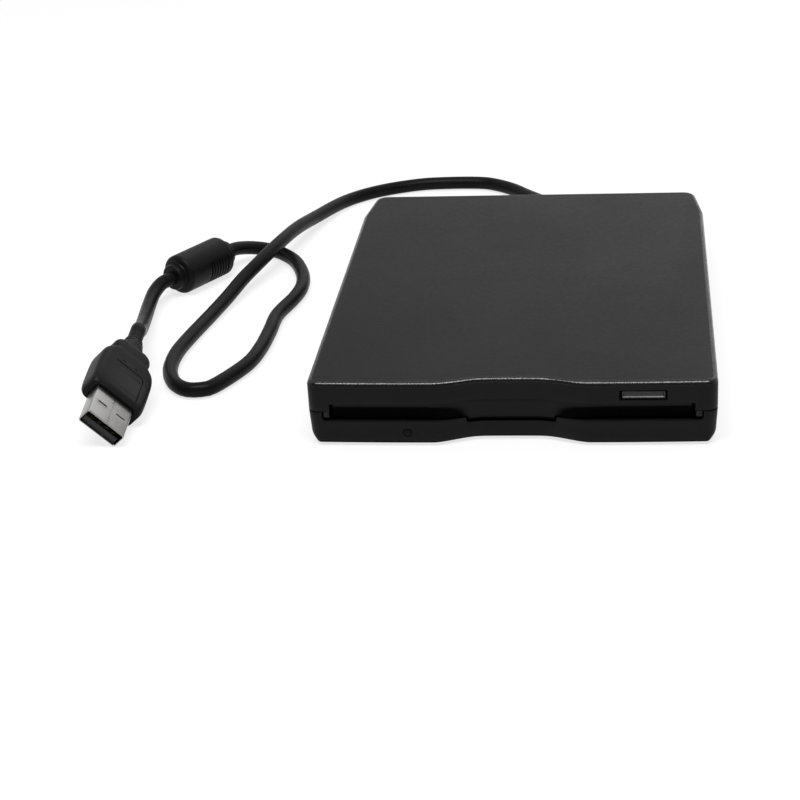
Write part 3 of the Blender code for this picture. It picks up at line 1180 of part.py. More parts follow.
def boards():
    """Drive board, lead board, their chips, the lead's socket, and the flat cable over the motor."""
    base = CHASSIS_TOP + BOARD_LIFT
    edge = CHASSIS_INSIDE - LID_SCREW_INSET - SCREW_HEAD_RADIUS - SEAT_GAP * 2
    rear = CHASSIS_REAR - CHASSIS_WALL - SEAT_GAP * 2
    drive_x = (-edge, ROD_X - sleeve_radius() - LID_SCREW_INSET)
    drive_y = (rear - DRIVE_BOARD_LENGTH, rear)
    usb_x = (SCREW_X + MOTOR_RADIUS + SEAT_GAP * 3, edge)
    usb_y = (LEVER_Y + LEVER_WIDTH, rear)
    top = base + BOARD_SHEET + SEAT_GAP / 2
    for name, span_x, span_y in (("drive", drive_x, drive_y), ("usb", usb_x, usb_y)):
        piece(name + "_board", block(span_x, span_y, (base, base + BOARD_SHEET)), GREEN_BOARD)
        size = (span_x[1] - span_x[0]) / 4
        middle = ((span_x[0] + span_x[1]) / 2, span_y[0] + size * 1.5)
        chip = block((middle[0] - size, middle[0] + size), (middle[1] - size, middle[1] + size),
                     (top, top + CHIP_HEIGHT))
        piece(name + "_chip", chip, BLACK_INNER)
    high = SCREW_Z + MOTOR_RADIUS + SEAT_GAP + RIBBON_SHEET
    low = top + RIBBON_SHEET
    route = ((drive_x[1] - RIBBON_RISE * 2, 0, low), (drive_x[1], 0, low),
             (drive_x[1] + RIBBON_RISE * 2, 0, low + RIBBON_RISE),
             (ROD_X + RIBBON_RISE * 3, 0, high), (SCREW_X + MOTOR_RADIUS, 0,
                                                  high), (usb_x[0] + RIBBON_RISE, 0, high - RIBBON_RISE),
             (usb_x[0] + RIBBON_RISE * 2, 0, low + RIBBON_RISE), (usb_x[0] + RIBBON_RISE * 3, 0, low))
    centre = smooth_path(route, 24)[0]
    motor_front = SCREW_REAR_Y + SEAT_GAP * 2
    piece("board_ribbon", ribbon(centre, (motor_front, motor_front + RIBBON_WIDTH / 2), RIBBON_SHEET),
          WHITE_RESIN)
    socket_x = (usb_x[1] - SOCKET_WIDTH - SEAT_GAP, usb_x[1] - SEAT_GAP)
    socket_y = (rear - SOCKET_DEPTH, rear - SEAT_GAP)
    socket = block(socket_x, socket_y, (top, top + SOCKET_HEIGHT))
    piece("lead_socket", socket, WHITE_RESIN)
    inner_lead(Vector(((socket_x[0] + socket_x[1]) / 2, rear, top + SOCKET_HEIGHT - WIRE_RADIUS)))


def inner_lead(end):
    """The bared wires inside the case, from the strain relief to their socket."""
    start = Vector((EXIT_X, REAR - CASE_WALL - SEAT_GAP * 2 - RELIEF_GROOVE * 3, EXIT_Z))
    lane = (start.y + CHASSIS_REAR) / 2
    rise = WIRE_RADIUS * 2
    over = SCREW_Z + rise
    route = (start, start - Vector((0, WIRE_RADIUS, 0)), Vector((EXIT_X + rise * 2, lane, EXIT_Z)),
             Vector((end.x - rise * 5, lane, over)), Vector((end.x - rise, CHASSIS_REAR + rise, over)),
             Vector((end.x, CHASSIS_REAR - rise, over)), Vector((end.x, end.y - SOCKET_DEPTH / 2, over)))
    wires = tube_mesh("inner_lead", smooth_path(route, 22)[0], WIRE_RADIUS, 1)
    wires.data.materials.append(material(GREY_RESIN))


def disk_switches():
    """Two push switches under the disk: one for the disk itself, one for its write-protect slide."""
    for name, side in (("write_protect_switch", -1), ("disk_in_switch", 1)):
        x = side * (DISK_WIDTH / 2 - SWITCH_WIDTH)
        y = CHASSIS_FRONT + SWITCH_DEPTH * 2
        base = CHASSIS_TOP + SEAT_GAP
        body = block((x - SWITCH_WIDTH / 2, x + SWITCH_WIDTH / 2),
                     (y - SWITCH_DEPTH / 2, y + SWITCH_DEPTH / 2),
                     (base, base + SWITCH_HEIGHT))
        button = rod((x, y, base), (x, y, base + SWITCH_HEIGHT + DISK_PLAY), SWITCH_DEPTH / 4)
        piece(name, fused([body, button]), BLACK_INNER)


def led_light_pipe():
    """Round lens in the front wall, on a clear stem with a flange behind the wall."""
    front = front_at(LED_X, LED_Z) + SIDE_DRAFT / 3
    wall = FRONT_WALL + SEAT_GAP
    profile = [(0, LED_RADIUS * 0.8), (LED_FLANGE / 2, LED_RADIUS), (wall, LED_RADIUS),
               (wall, LED_RADIUS + LED_FLANGE),
               (wall + LED_FLANGE, LED_RADIUS + LED_FLANGE), (wall + LED_FLANGE, LED_RADIUS), (LED_LENGTH,
                                                                                               LED_RADIUS)]
    piece("led_light_pipe", turned(profile, (LED_X, front, LED_Z), (0, 1, 0)), LAMP, (LED_X, front, LED_Z))


def strain_relief():
    """Ribbed boot clamped in the rear wall, bored for the lead."""
    inner = REAR - CASE_WALL - SEAT_GAP
    profile = [(-RELIEF_GROOVE * 3, RELIEF_FLANGE), (0, RELIEF_FLANGE), (0, RELIEF_NECK),
               (CASE_WALL + 2 * SEAT_GAP, RELIEF_NECK)]
    start = CASE_WALL + 2 * SEAT_GAP
    step = RELIEF_LENGTH / RELIEF_RIBS
    for rib in range(RELIEF_RIBS):
        radius = RELIEF_FLANGE + (RELIEF_TIP - RELIEF_FLANGE) * rib / (RELIEF_RIBS - 1)
        at = start + rib * step
        profile += [(at, radius), (at + step * 0.65, radius * 0.97)]
        if rib < RELIEF_RIBS - 1:
            profile += [(at + step * 0.65, radius - RELIEF_GROOVE * 2),
                        (at + step, radius - RELIEF_GROOVE * 2)]
    end = profile[-1][0]
    boot = turned(profile, (EXIT_X, inner, EXIT_Z), (0, 1, 0))
    piece("strain_relief", boot, BLACK_RUBBER, (EXIT_X, inner, EXIT_Z))
    return Vector((EXIT_X, inner + end + SEAT_GAP, EXIT_Z))


def bead_direction():
    """The way the bead points, from its drive end to its plug end."""
    return Vector((math.sin(BEAD_TURN), -math.cos(BEAD_TURN), 0))


def ferrite_bead():
    """Moulded bead: round body with grip grooves and a ringed collar at each end."""
    along = bead_direction()
    total = BEAD_LENGTH
    edge = BEAD_GROOVE_DEPTH * 3
    body = BEAD_RADIUS
    profile = [(0, CORD_RADIUS + BEAD_GROOVE_DEPTH * 2), (0, BEAD_COLLAR_RADIUS * 0.9),
               (BEAD_COLLAR * 0.4, BEAD_COLLAR_RADIUS),
               (BEAD_COLLAR * 0.5, BEAD_COLLAR_RADIUS * 0.88), (BEAD_COLLAR * 0.75,
                                                                BEAD_COLLAR_RADIUS * 0.88),
               (BEAD_COLLAR * 0.8, BEAD_COLLAR_RADIUS), (BEAD_COLLAR, BEAD_COLLAR_RADIUS * 1.05),
               (BEAD_COLLAR, body - edge), (BEAD_COLLAR + edge * 0.4,
                                            body - edge * 0.3), (BEAD_COLLAR + edge, body)]
    profile += [(total - distance, radius) for distance, radius in reversed(profile)]
    bead = turned(profile, BEAD_START, along)
    side = Vector((-along.y, along.x, 0))
    cuts = []
    length = BEAD_GROOVE_RUN
    for groove in range(BEAD_GROOVES):
        at = BEAD_COLLAR + 2 * edge + length * (groove + 0.5) / BEAD_GROOVES
        middle = BEAD_START + along * at
        width = length / BEAD_GROOVES / 4
        for way in (-1, 1):
            reach = side * way
            corner = middle + reach * (body - BEAD_GROOVE_DEPTH)
            far = middle + reach * (body + OVERRUN)
            tall = Vector((0, 0, body * 0.62))
            ring = [corner - along * width - tall, corner + along * width - tall,
                    corner + along * width + tall,
                    corner - along * width + tall]
            outer = [point + (far - corner) for point in ring]
            cuts.append(loft([ring, outer]))
    piece("ferrite_bead", fused([bead], cuts), BLACK_VINYL, tuple(BEAD_START + along * total / 2))


def lead(name, points):
    """One free stretch of the lead."""
    cord = tube_mesh(name, points, CORD_RADIUS, 2)
    cord.data.materials.append(material(BLACK_VINYL))
    return cord


def grip_ring(back, half_width, half_height, corner):
    """Rounded cross-section of the plug's grip at a distance back from the nose."""
    corner = min(corner, half_height * 0.98, half_width * 0.98)
    ring = []
    for centre_x, centre_z, start in ((half_width, half_height, 0), (-half_width, half_height, 90),
                                      (-half_width, -half_height, 180), (half_width, -half_height, 270)):
        x = math.copysign(abs(centre_x) - corner, centre_x)
        z = math.copysign(abs(centre_z) - corner, centre_z)
        ring += [(px, back, pz) for px, pz in arc((x, z), corner, start, start + 90, 3)]
    return ring


def grip_rings():
    """Cross-sections of the grip: wide wings, a waist for the fingers, a knob, then the ringed relief."""
    half = GRIP_THICKNESS / 2
    start = SHELL_LENGTH + SEAT_GAP
    length = GRIP_LENGTH
    wings = ((0, 0.98, 0.86), (0.04, 1.03, 0.94), (0.16, 1.07, 1.0), (0.36, 1.08, 1.0), (0.56, 1.03, 1.0),
             (0.68, 0.92, 1.0), (0.76, 0.90, 1.0), (0.84, 0.94, 0.98), (0.91, 0.92, 0.95), (0.97, 0.78, 0.90),
             (1.0, 0.60, 0.82))
    rings = [grip_ring(start + length * at, GRIP_HALF * wide, half * tall, GRIP_CORNER) for at, wide,
             tall in wings]
    relief = start + length
    for at, share in ((0.0, 1.0), (0.30, 0.94), (0.32, 0.80), (0.44, 0.80), (0.46, 0.92), (0.62, 0.88),
                      (0.64, 0.76),
                      (0.76, 0.76), (0.78, 0.86), (1.0, 0.80)):
        radius = GRIP_RELIEF_RADIUS * share
        rings.append(grip_ring(relief + GRIP_RELIEF_LENGTH * (at + GRIP_RELIEF_STEP_SHARE), radius, min(radius, half * 0.8),
                               radius))
    return rings


def plug():
    """Plug: moulded grip, folded metal shell with latch holes, blade and contacts, all in its own frame."""
    frame = bpy.data.objects.new("plug_frame", None)
    bpy.context.scene.collection.objects.link(frame)
    frame.location = PLUG_NOSE
    frame.rotation_mode = "YXZ"
    frame.rotation_euler = (PLUG_PITCH, PLUG_ROLL, PLUG_YAW)
    made = [plug_grip(), plug_shell(), plug_blade()] + plug_contacts()
    for part in made:
        part.parent = frame
    bpy.context.view_layer.update()
    end = SHELL_LENGTH + SEAT_GAP + GRIP_LENGTH + GRIP_RELIEF_LENGTH * (1 + GRIP_RELIEF_STEP_SHARE) + SEAT_GAP
    along = (frame.matrix_world.to_3x3() @ Vector((0, 1, 0))).normalized()
    return frame.matrix_world @ Vector((0, end, 0)), along


def plug_grip():
    """The moulded grip, with a pocket for the metal shell."""
    grip = loft(grip_rings())
    half_w = SHELL_WIDTH / 2 + SEAT_GAP
    half_h = SHELL_HEIGHT / 2 + SEAT_GAP
    pocket = block((-half_w, half_w), (0, SHELL_LENGTH + SHELL_SEAT + SEAT_GAP), (-half_h, half_h))
    return piece("plug_grip", fused([grip], [pocket]), BLACK_VINYL)


def shell_ring(back, inset):
    """The metal shell's rounded section at a distance back from its mouth."""
    return grip_ring(back, SHELL_WIDTH / 2 - inset, SHELL_HEIGHT / 2 - inset, SHELL_CORNER)


def plug_shell():
    """Folded metal shell with two latch holes in each broad side."""
    end = SHELL_LENGTH + SHELL_SEAT
    outer = loft([shell_ring(0, 0), shell_ring(end, 0)])
    cuts = [loft([shell_ring(-OVERRUN, SHELL_SHEET), shell_ring(end + OVERRUN, SHELL_SHEET)])]
    for x in (-LATCH_HOLE_OFFSET, LATCH_HOLE_OFFSET):
        cuts.append(block((x - LATCH_HOLE / 2, x + LATCH_HOLE / 2),
                          (LATCH_HOLE_BACK, LATCH_HOLE_BACK + LATCH_HOLE_LENGTH),
                          (-SHELL_HEIGHT, SHELL_HEIGHT)))
    return piece("plug_shell", fused([outer], cuts), NICKEL)


def plug_blade():
    """The resin block at the back of the shell and the blade that carries the contacts."""
    inset = SHELL_SHEET + SEAT_GAP / 2
    half = SHELL_WIDTH / 2 - inset - SHELL_CORNER / 2
    tall = SHELL_HEIGHT / 2 - inset
    back = loft([shell_ring(y, inset) for y in (SHELL_LENGTH - SHELL_SEAT / 2, SHELL_LENGTH + SHELL_SEAT)])
    blade = block((-half, half), (SHELL_SHEET * 2, SHELL_LENGTH), (-tall, -tall + TONGUE_BLADE))
    return piece("plug_blade", fused([back, blade]), WHITE_RESIN)


def plug_contacts():
    """Four gold contact strips on the blade."""
    top = -(SHELL_HEIGHT / 2 - SHELL_SHEET - SEAT_GAP / 2) + TONGUE_BLADE + SEAT_GAP / 3
    made = []
    for number in range(CONTACTS):
        x = (number - (CONTACTS - 1) / 2) * CONTACT_PITCH
        strip = block((x - CONTACT_WIDTH / 2, x + CONTACT_WIDTH / 2),
                      (SHELL_SHEET * 5, SHELL_LENGTH - SHELL_SEAT / 2 - SEAT_GAP), (top, top + CONTACT_SHEET))
        made.append(piece(f"plug_contact_{number + 1}", strip, GOLD))
    return made


def from_exit(route):
    """A route's points in place behind the case."""
    return [Vector((EXIT_X, REAR, 0)) + Vector(point) for point in route]


def leads(relief_end, plug_end, plug_along):
    """Both free stretches of the lead, each read from a smooth curve through its route."""
    along = bead_direction()
    step = CORD_RADIUS * 2
    start = [relief_end, relief_end + Vector((0, step / 2, 0))]
    bead_in = BEAD_START - along * SEAT_GAP
    route = start + from_exit(DRIVE_ROUTE) + [bead_in - along * step / 2, bead_in]
    points, length = smooth_path(route, CORD_POINTS)
    lead("cord_drive_to_bead", points)
    bead_out = BEAD_START + along * (BEAD_LENGTH + SEAT_GAP)
    straight = [plug_end + plug_along * step * 1.5, plug_end + plug_along * step * 0.8]
    route = [bead_out, bead_out + along * step / 2] + from_exit(PLUG_ROUTE) + straight + [plug_end]
    more, rest = smooth_path(route, BEAD_CORD_POINTS)
    lead("cord_bead_to_plug", more)
    least = min(
        (one - other).length
        for index, one in enumerate(points) for number, other in enumerate(points)
        if number - index > CORD_POINTS // 8
    )
    print("lead lengths", round(length, 4), round(rest, 4), "least gap to itself",
          round(least - 2 * CORD_RADIUS, 5))


def main():
    """Builds every piece."""
    clear_scene()
    upper_cover()
    lower_shell()
    rubber_feet()
    case_screws()
    slot_bezel()
    door_flap()
    door_spring()
    eject_button()
    eject_slider()
    eject_springs()
    disk_carrier()
    mechanism_frame()
    mechanism_lid()
    spindle()
    head_carriage()
    upper_arm()
    head_drive()
    shutter_lever()
    boards()
    disk_switches()
    led_light_pipe()
    relief_end = strain_relief()
    ferrite_bead()
    plug_end, plug_along = plug()
    leads(relief_end, plug_end, plug_along)


main()
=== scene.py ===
import logging
import math
from dataclasses import dataclass
from enum import Enum
from typing import Any, Callable, ClassVar, Iterable, Optional, Sequence, Union

import bmesh
import bpy
from mathutils import Euler, Matrix, Vector


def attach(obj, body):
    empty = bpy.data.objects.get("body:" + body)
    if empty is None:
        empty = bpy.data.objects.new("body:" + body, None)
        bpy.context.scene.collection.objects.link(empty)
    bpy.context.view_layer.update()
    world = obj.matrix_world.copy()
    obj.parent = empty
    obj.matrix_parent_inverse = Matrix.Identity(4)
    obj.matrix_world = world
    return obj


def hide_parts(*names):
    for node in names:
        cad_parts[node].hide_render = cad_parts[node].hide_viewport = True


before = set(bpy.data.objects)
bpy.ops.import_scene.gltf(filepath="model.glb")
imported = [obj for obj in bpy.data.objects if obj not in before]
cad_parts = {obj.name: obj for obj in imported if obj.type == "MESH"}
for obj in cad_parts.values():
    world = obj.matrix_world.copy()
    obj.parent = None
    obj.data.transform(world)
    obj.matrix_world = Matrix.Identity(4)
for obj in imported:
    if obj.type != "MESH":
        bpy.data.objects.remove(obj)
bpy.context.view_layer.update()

LOG = logging.getLogger("floppy_drive")
Ring = list[Vector]
Number = Union[int, float]
LONG_POINTS = 220
SHORT_POINTS = 56


# Shader graph

class Value:
    """One shader socket that takes part in Python sums."""

    def __init__(self, graph: "Graph", socket: bpy.types.NodeSocket) -> None:
        """Keep the socket and the graph it belongs to."""
        self.graph = graph
        self.socket = socket

    def _math(self, operation: str, first: Any, second: Any = None) -> "Value":
        """Add one Math node.

        Args:
            operation: The node's operation.
            first: Its first input, a Value or a number.
            second: Its second input, where it has one.

        Returns:
            The result.
        """
        node = self.graph.node("ShaderNodeMath", {"operation": operation})
        for index, value in enumerate((first, second)):
            if value is not None:
                self.graph.feed(node.inputs[index], value)
        return Value(self.graph, node.outputs[0])

    def __add__(self, other: Any) -> "Value":
        """Sum."""
        return self._math("ADD", self, other)

    def __radd__(self, other: Any) -> "Value":
        """Sum, reflected."""
        return self._math("ADD", other, self)

    def __mul__(self, other: Any) -> "Value":
        """Product."""
        return self._math("MULTIPLY", self, other)

    def __rmul__(self, other: Any) -> "Value":
        """Product, reflected."""
        return self._math("MULTIPLY", other, self)

    def at_most(self, other: Any) -> "Value":
        """The lower of two values."""
        return self._math("MINIMUM", self, other)


class Graph:
    """A material's node tree, with one Principled shader at its end."""

    def __init__(self, name: str) -> None:
        """Make the material and find its shader.

        Args:
            name: The material's name.
        """
        self.material = bpy.data.materials.new(name)
        self.material.use_nodes = True
        self.tree = self.material.node_tree
        self.shader = next(n for n in self.tree.nodes if n.type == "BSDF_PRINCIPLED")

    def feed(self, socket: bpy.types.NodeSocket, value: Any) -> None:
        """Link a Value to a socket, or write a plain number or colour on it.

        Args:
            socket: The input to feed.
            value: What it takes.
        """
        if isinstance(value, Value):
            self.tree.links.new(value.socket, socket)
        elif isinstance(value, bpy.types.NodeSocket):
            self.tree.links.new(value, socket)
        else:
            socket.default_value = value

    def node(self, kind: str, settings: Optional[dict[str, Any]] = None,
             inputs: Optional[dict[Union[str, int], Any]] = None) -> bpy.types.Node:
        """Add one node.

        Args:
            kind: The node's type name.
            settings: Properties of the node, set first. "stops" holds a ramp's stops.
            inputs: Values or links of its sockets, by name or number.

        Returns:
            The new node.
        """
        made = self.tree.nodes.new(kind)
        for key, value in (settings or {}).items():
            if key == "stops":
                ramp = made.color_ramp
                while len(ramp.elements) < len(value):
                    ramp.elements.new(0.5)
                for element, (place, colour) in zip(ramp.elements, value):
                    element.position = place
                    element.color = colour
            else:
                setattr(made, key, value)
        for key, value in (inputs or {}).items():
            self.feed(made.inputs[key], value)
        return made

    def value(self, node: bpy.types.Node, output: Union[str, int] = 0) -> Value:
        """One output of a node, ready for sums."""
        return Value(self, node.outputs[output])

    def place(self, stretch: Sequence[Number] = (1, 1, 1), turn: Sequence[Number] = (0, 0, 0)) -> Value:
        """Object coordinates, stretched and turned by a Mapping node.

        Args:
            stretch: Scale along each axis.
            turn: Rotation in radians.

        Returns:
            The mapped vector.
        """
        source = self.node("ShaderNodeTexCoord")
        mapping = self.node("ShaderNodeMapping", {"vector_type": "POINT"},
                            {"Vector": source.outputs["Object"], "Scale": tuple(stretch),
                             "Rotation": tuple(turn)})
        return self.value(mapping)

    def noise(self, size: float, detail: float = 2.0, roughness: float = 0.5,
              where: Optional[Value] = None) -> Value:
        """Noise whose grains are about one size across.

        Args:
            size: Grain in metres.
            detail: Octaves.
            roughness: Share of the finer octaves.
            where: Coordinates, the object's own by default.

        Returns:
            A value from 0 to 1.
        """
        spot = where or self.place()
        made = self.node("ShaderNodeTexNoise", None, {"Vector": spot, "Scale": 1 / size, "Detail": detail,
                                                      "Roughness": roughness})
        return self.value(made, 0)

    def between(self, share: Any, low: Sequence[float], high: Sequence[float]) -> Value:
        """Mix two colours.

        Args:
            share: How far to go from the first to the second.
            low: The first colour.
            high: The second colour.

        Returns:
            The mixed colour.
        """
        made = self.node("ShaderNodeMix", {"data_type": "RGBA"}, {0: share})
        self.feed(made.inputs[6], (*low, 1))
        self.feed(made.inputs[7], (*high, 1))
        return self.value(made, 2)

    def spread(self, source: Value, low: float, high: float, to_low: float = 0.0,
               to_high: float = 1.0) -> Value:
        """Map one span of a value on another, and hold the ends.

        Args:
            source: The value.
            low: Start of its span.
            high: End of its span.
            to_low: What the start becomes.
            to_high: What the end becomes.

        Returns:
            The mapped value.
        """
        made = self.node("ShaderNodeMapRange", {"clamp": True},
                         {"Value": source, "From Min": low, "From Max": high,
                                                                 "To Min": to_low, "To Max": to_high})
        return self.value(made)

    def bump(self, height: Value, strength: float, distance: float, before: Optional[Value] = None) -> Value:
        """A Bump node.

        Args:
            height: What raises the surface.
            strength: Share of the effect.
            distance: Height in metres of the value 1.
            before: Normal of an earlier bump.

        Returns:
            The new normal.
        """
        inputs: dict[Union[str, int], Any] = {"Height": height, "Strength": strength, "Distance": distance}
        if before is not None:
            inputs["Normal"] = before
        return self.value(self.node("ShaderNodeBump", None, inputs))

    def finish(self, **sockets: Any) -> bpy.types.Material:
        """Feed the shader's sockets.

        Args:
            sockets: Values by socket name, with underscores for spaces.

        Returns:
            The material.
        """
        for key, value in sockets.items():
            self.feed(self.shader.inputs[key.replace("_", " ")], value)
        return self.material


# Finishes

@dataclass(frozen=True)
class Moulded:
    """Satin moulded plastic or rubber: a fine spark-eroded grain, faint clouding, rubbed gloss and, where it
    has polish, painted shade where a mesh marks it.
    """

    name: str
    colour: tuple[float, float, float] = (0.0075, 0.0075, 0.0078)
    cloud: tuple[float, float, float] = (0.0105, 0.0105, 0.0108)
    rough_low: float = 0.36
    rough_high: float = 0.50
    grain: float = 0.00042
    grain_height: float = 0.000012
    specular: float = 0.35
    cloud_size: float = 0.03
    polish_low: float = 0.0
    polish_high: float = 0.0
    polish: float = 0.0

    def material(self) -> bpy.types.Material:
        """Build the nodes.

        Returns:
            The material.
        """
        graph = Graph(self.name)
        cloud = graph.noise(self.cloud_size, 3.0)
        grain = graph.noise(self.grain, 3.0, 0.6)
        pits = graph.noise(self.grain * 3.1, 1.0)
        colour = graph.between(graph.spread(cloud, 0.35, 0.65), self.colour, self.cloud)
        rough = graph.spread(cloud * 0.6 + pits * 0.4, 0.35, 0.65, self.rough_low, self.rough_high)
        first = graph.bump(grain, 1.0, self.grain_height)
        second = graph.bump(pits, 1.0, self.grain_height * 0.8, first)
        made = graph.finish(Base_Color=colour, Roughness=rough, Normal=second,
                            Specular_IOR_Level=self.specular)
        if self.polish:
            graph.finish(Coat_Weight=self.rubbed(graph, grain), Coat_Roughness=0.14)
            # Painted shade: a near black finish mixed in where a mesh marks it.
            self.mix_painted_shade(graph)
        return made

    def mix_painted_shade(self, graph: Graph) -> None:
        """Mix in painted shade, a dull near black finish, where the mesh's shade attribute says so.

        Args:
            graph: The material's graph.
        """
        hollow = graph.node("ShaderNodeAttribute", {"attribute_name": "hollow"})
        painted_dark = graph.node("ShaderNodeBsdfPrincipled", None, {"Base Color": (0.0012, 0.0012, 0.0012, 1),
                                                             "Roughness": 0.6, "Specular IOR Level": 0.01})
        mixed = graph.node("ShaderNodeMixShader", None,
                           {0: hollow.outputs["Fac"], 1: graph.shader.outputs[0], 2: painted_dark.outputs[0]})
        end = next(node for node in graph.tree.nodes if node.type == "OUTPUT_MATERIAL")
        graph.tree.links.new(mixed.outputs[0], end.inputs["Surface"])

    def rubbed(self, graph: Graph, grain: Value) -> Value:
        """How shiny handling has made the rounded edge, between two heights of the piece.

        Args:
            graph: The material's graph.
            grain: The fine grain, which breaks the shine up.

        Returns:
            A share from 0 to the finish's polish.
        """
        parts = graph.node("ShaderNodeSeparateXYZ", None, {"Vector": graph.place()})
        height = graph.value(parts, "Z")
        fade = 0.0003
        rise = graph.spread(height, self.polish_low, self.polish_low + fade)
        fall = graph.spread(height, self.polish_high - fade / 10, self.polish_high, 1.0, 0.0)
        return rise * fall * graph.spread(grain, 0.38, 0.62, self.polish * 0.25, self.polish)


@dataclass(frozen=True)
class Metal:
    """Metal with a rolled, brushed or spangled surface."""

    name: str
    colour: tuple[float, float, float] = (0.62, 0.62, 0.60)
    tint: tuple[float, float, float] = (0.50, 0.50, 0.49)
    rough_low: float = 0.22
    rough_high: float = 0.40
    stretch: tuple[float, float, float] = (1.0, 1.0, 1.0)
    turn: tuple[float, float, float] = (0.0, 0.0, 0.0)
    line: float = 0.0004
    height: float = 0.000004
    spangle: float = 0.0

    def material(self) -> bpy.types.Material:
        """Build the nodes.

        Returns:
            The material.
        """
        graph = Graph(self.name)
        lines = graph.noise(self.line, 2.0, 0.6, graph.place(self.stretch, self.turn))
        share = graph.spread(lines, 0.3, 0.7)
        if self.spangle:
            cells = graph.node("ShaderNodeTexVoronoi", {"feature": "F1"},
                               {"Vector": graph.place(), "Scale": 1 / self.spangle})
            parts = graph.node("ShaderNodeSeparateColor", None, {"Color": cells.outputs["Color"]})
            share = share * 0.35 + graph.value(parts, 0) * 0.65
        colour = graph.between(share, self.tint, self.colour)
        rough = graph.spread(share, 0.0, 1.0, self.rough_low, self.rough_high)
        return graph.finish(Base_Color=colour, Metallic=1.0, Roughness=rough,
                            Normal=graph.bump(lines, 1.0, self.height))


@dataclass(frozen=True)
class Board:
    """Coated circuit board: green lacquer over faint copper tracks."""

    name: str = "board_green"
    lacquer: tuple[float, float, float] = (0.008, 0.075, 0.030)
    track: tuple[float, float, float] = (0.020, 0.150, 0.055)

    def material(self) -> bpy.types.Material:
        """Build the nodes.

        Returns:
            The material.
        """
        graph = Graph(self.name)
        cells = graph.node("ShaderNodeTexBrick", None, {"Vector": graph.place((1, 1, 1)), "Scale": 260.0,
                                                        "Mortar Size": 0.02, "Color1": (0, 0, 0, 1),
                                                        "Color2": (0.2, 0.2, 0.2, 1), "Mortar": (1, 1, 1, 1)})
        share = graph.value(cells, 0)
        colour = graph.between(share, self.lacquer, self.track)
        return graph.finish(Base_Color=colour, Roughness=graph.spread(share, 0, 1, 0.25, 0.38),
                            Normal=graph.bump(share, 0.6, 0.00002))


@dataclass(frozen=True)
class Lens:
    """Smoked clear plastic of the lamp."""

    name: str = "lamp_lens"
    colour: tuple[float, float, float] = (0.0025, 0.0030, 0.0026)

    def material(self) -> bpy.types.Material:
        """Build the nodes.

        Returns:
            The material.
        """
        graph = Graph(self.name)
        wisps = graph.noise(0.0006, 2.0)
        lighter = tuple(min(1.0, part * 2.5) for part in self.colour)
        colour = graph.between(graph.spread(wisps, 0.3, 0.7), self.colour, lighter)
        return graph.finish(Base_Color=colour, Roughness=graph.spread(wisps, 0.3, 0.7, 0.30, 0.42),
                            Specular_IOR_Level=0.06)


class Finish(Enum):
    """Named finishes of the drive."""

    # The case finish also carries painted shade, mixed in where a mesh marks it.
    CASE = Moulded("case_satin_black", (0.0058, 0.0058, 0.0060), (0.0068, 0.0068, 0.0070), 0.38, 0.46,
                   0.00042, 0.000009, 0.09, 0.03, 0.0168, 0.018, 1.0)
    INNER = Moulded("inner_black", (0.006, 0.006, 0.006), (0.008, 0.008, 0.008), 0.45, 0.6, 0.0006, 0.000006,
                    0.25)
    KEY = Moulded("key_black", (0.006, 0.006, 0.0062), (0.0075, 0.0075, 0.0077), 0.28, 0.36, 0.0003, 0.000006,
                  0.45)
    LEAD = Moulded("lead_vinyl", (0.0055, 0.0055, 0.0058), (0.0075, 0.0075, 0.0079), 0.30, 0.40, 0.0008,
                   0.000008,
                   0.06, 0.010)
    GRIP = Moulded("grip_vinyl", (0.0056, 0.0056, 0.0058), (0.0066, 0.0066, 0.0068), 0.38, 0.46, 0.0004,
                   0.000008,
                   0.10, 0.006)
    RUBBER = Moulded("foot_rubber", (0.010, 0.010, 0.010), (0.014, 0.014, 0.014), 0.6, 0.75, 0.0005, 0.00001,
                     0.25)
    CHIP = Moulded("chip_resin", (0.012, 0.012, 0.013), (0.018, 0.018, 0.019), 0.5, 0.6, 0.0002, 0.000004,
                   0.3)
    WHITE = Moulded("white_resin", (0.62, 0.61, 0.58), (0.68, 0.67, 0.64), 0.35, 0.45, 0.0004, 0.000004, 0.4)
    GREY = Moulded("grey_resin", (0.16, 0.16, 0.165), (0.20, 0.20, 0.205), 0.42, 0.52, 0.0005, 0.000006, 0.35)
    CABLE = Moulded("flat_cable", (0.55, 0.47, 0.34), (0.60, 0.52, 0.38), 0.35, 0.45, 0.0006, 0.000004, 0.4)
    ZINC = Metal("zinc_sheet", (0.60, 0.61, 0.61), (0.50, 0.51, 0.52), 0.28, 0.46, spangle=0.004)
    STEEL = Metal("bright_steel", (0.58, 0.57, 0.56), (0.46, 0.46, 0.45), 0.18, 0.32)
    NICKEL = Metal("brushed_nickel", (0.40, 0.395, 0.385), (0.33, 0.327, 0.32), 0.26, 0.38,
                   (1.0, 0.06, 1.0), (math.radians(8.6), math.radians(46.9), math.radians(0.3)), 0.00025,
                   0.000004)
    GOLD = Metal("contact_gold", (0.86, 0.62, 0.25), (0.78, 0.54, 0.20), 0.15, 0.28)
    COPPER = Metal("coil_copper", (0.62, 0.28, 0.14), (0.52, 0.22, 0.10), 0.25, 0.40, line=0.0002,
                   height=0.00002)
    BOARD = Board()
    LENS = Lens()


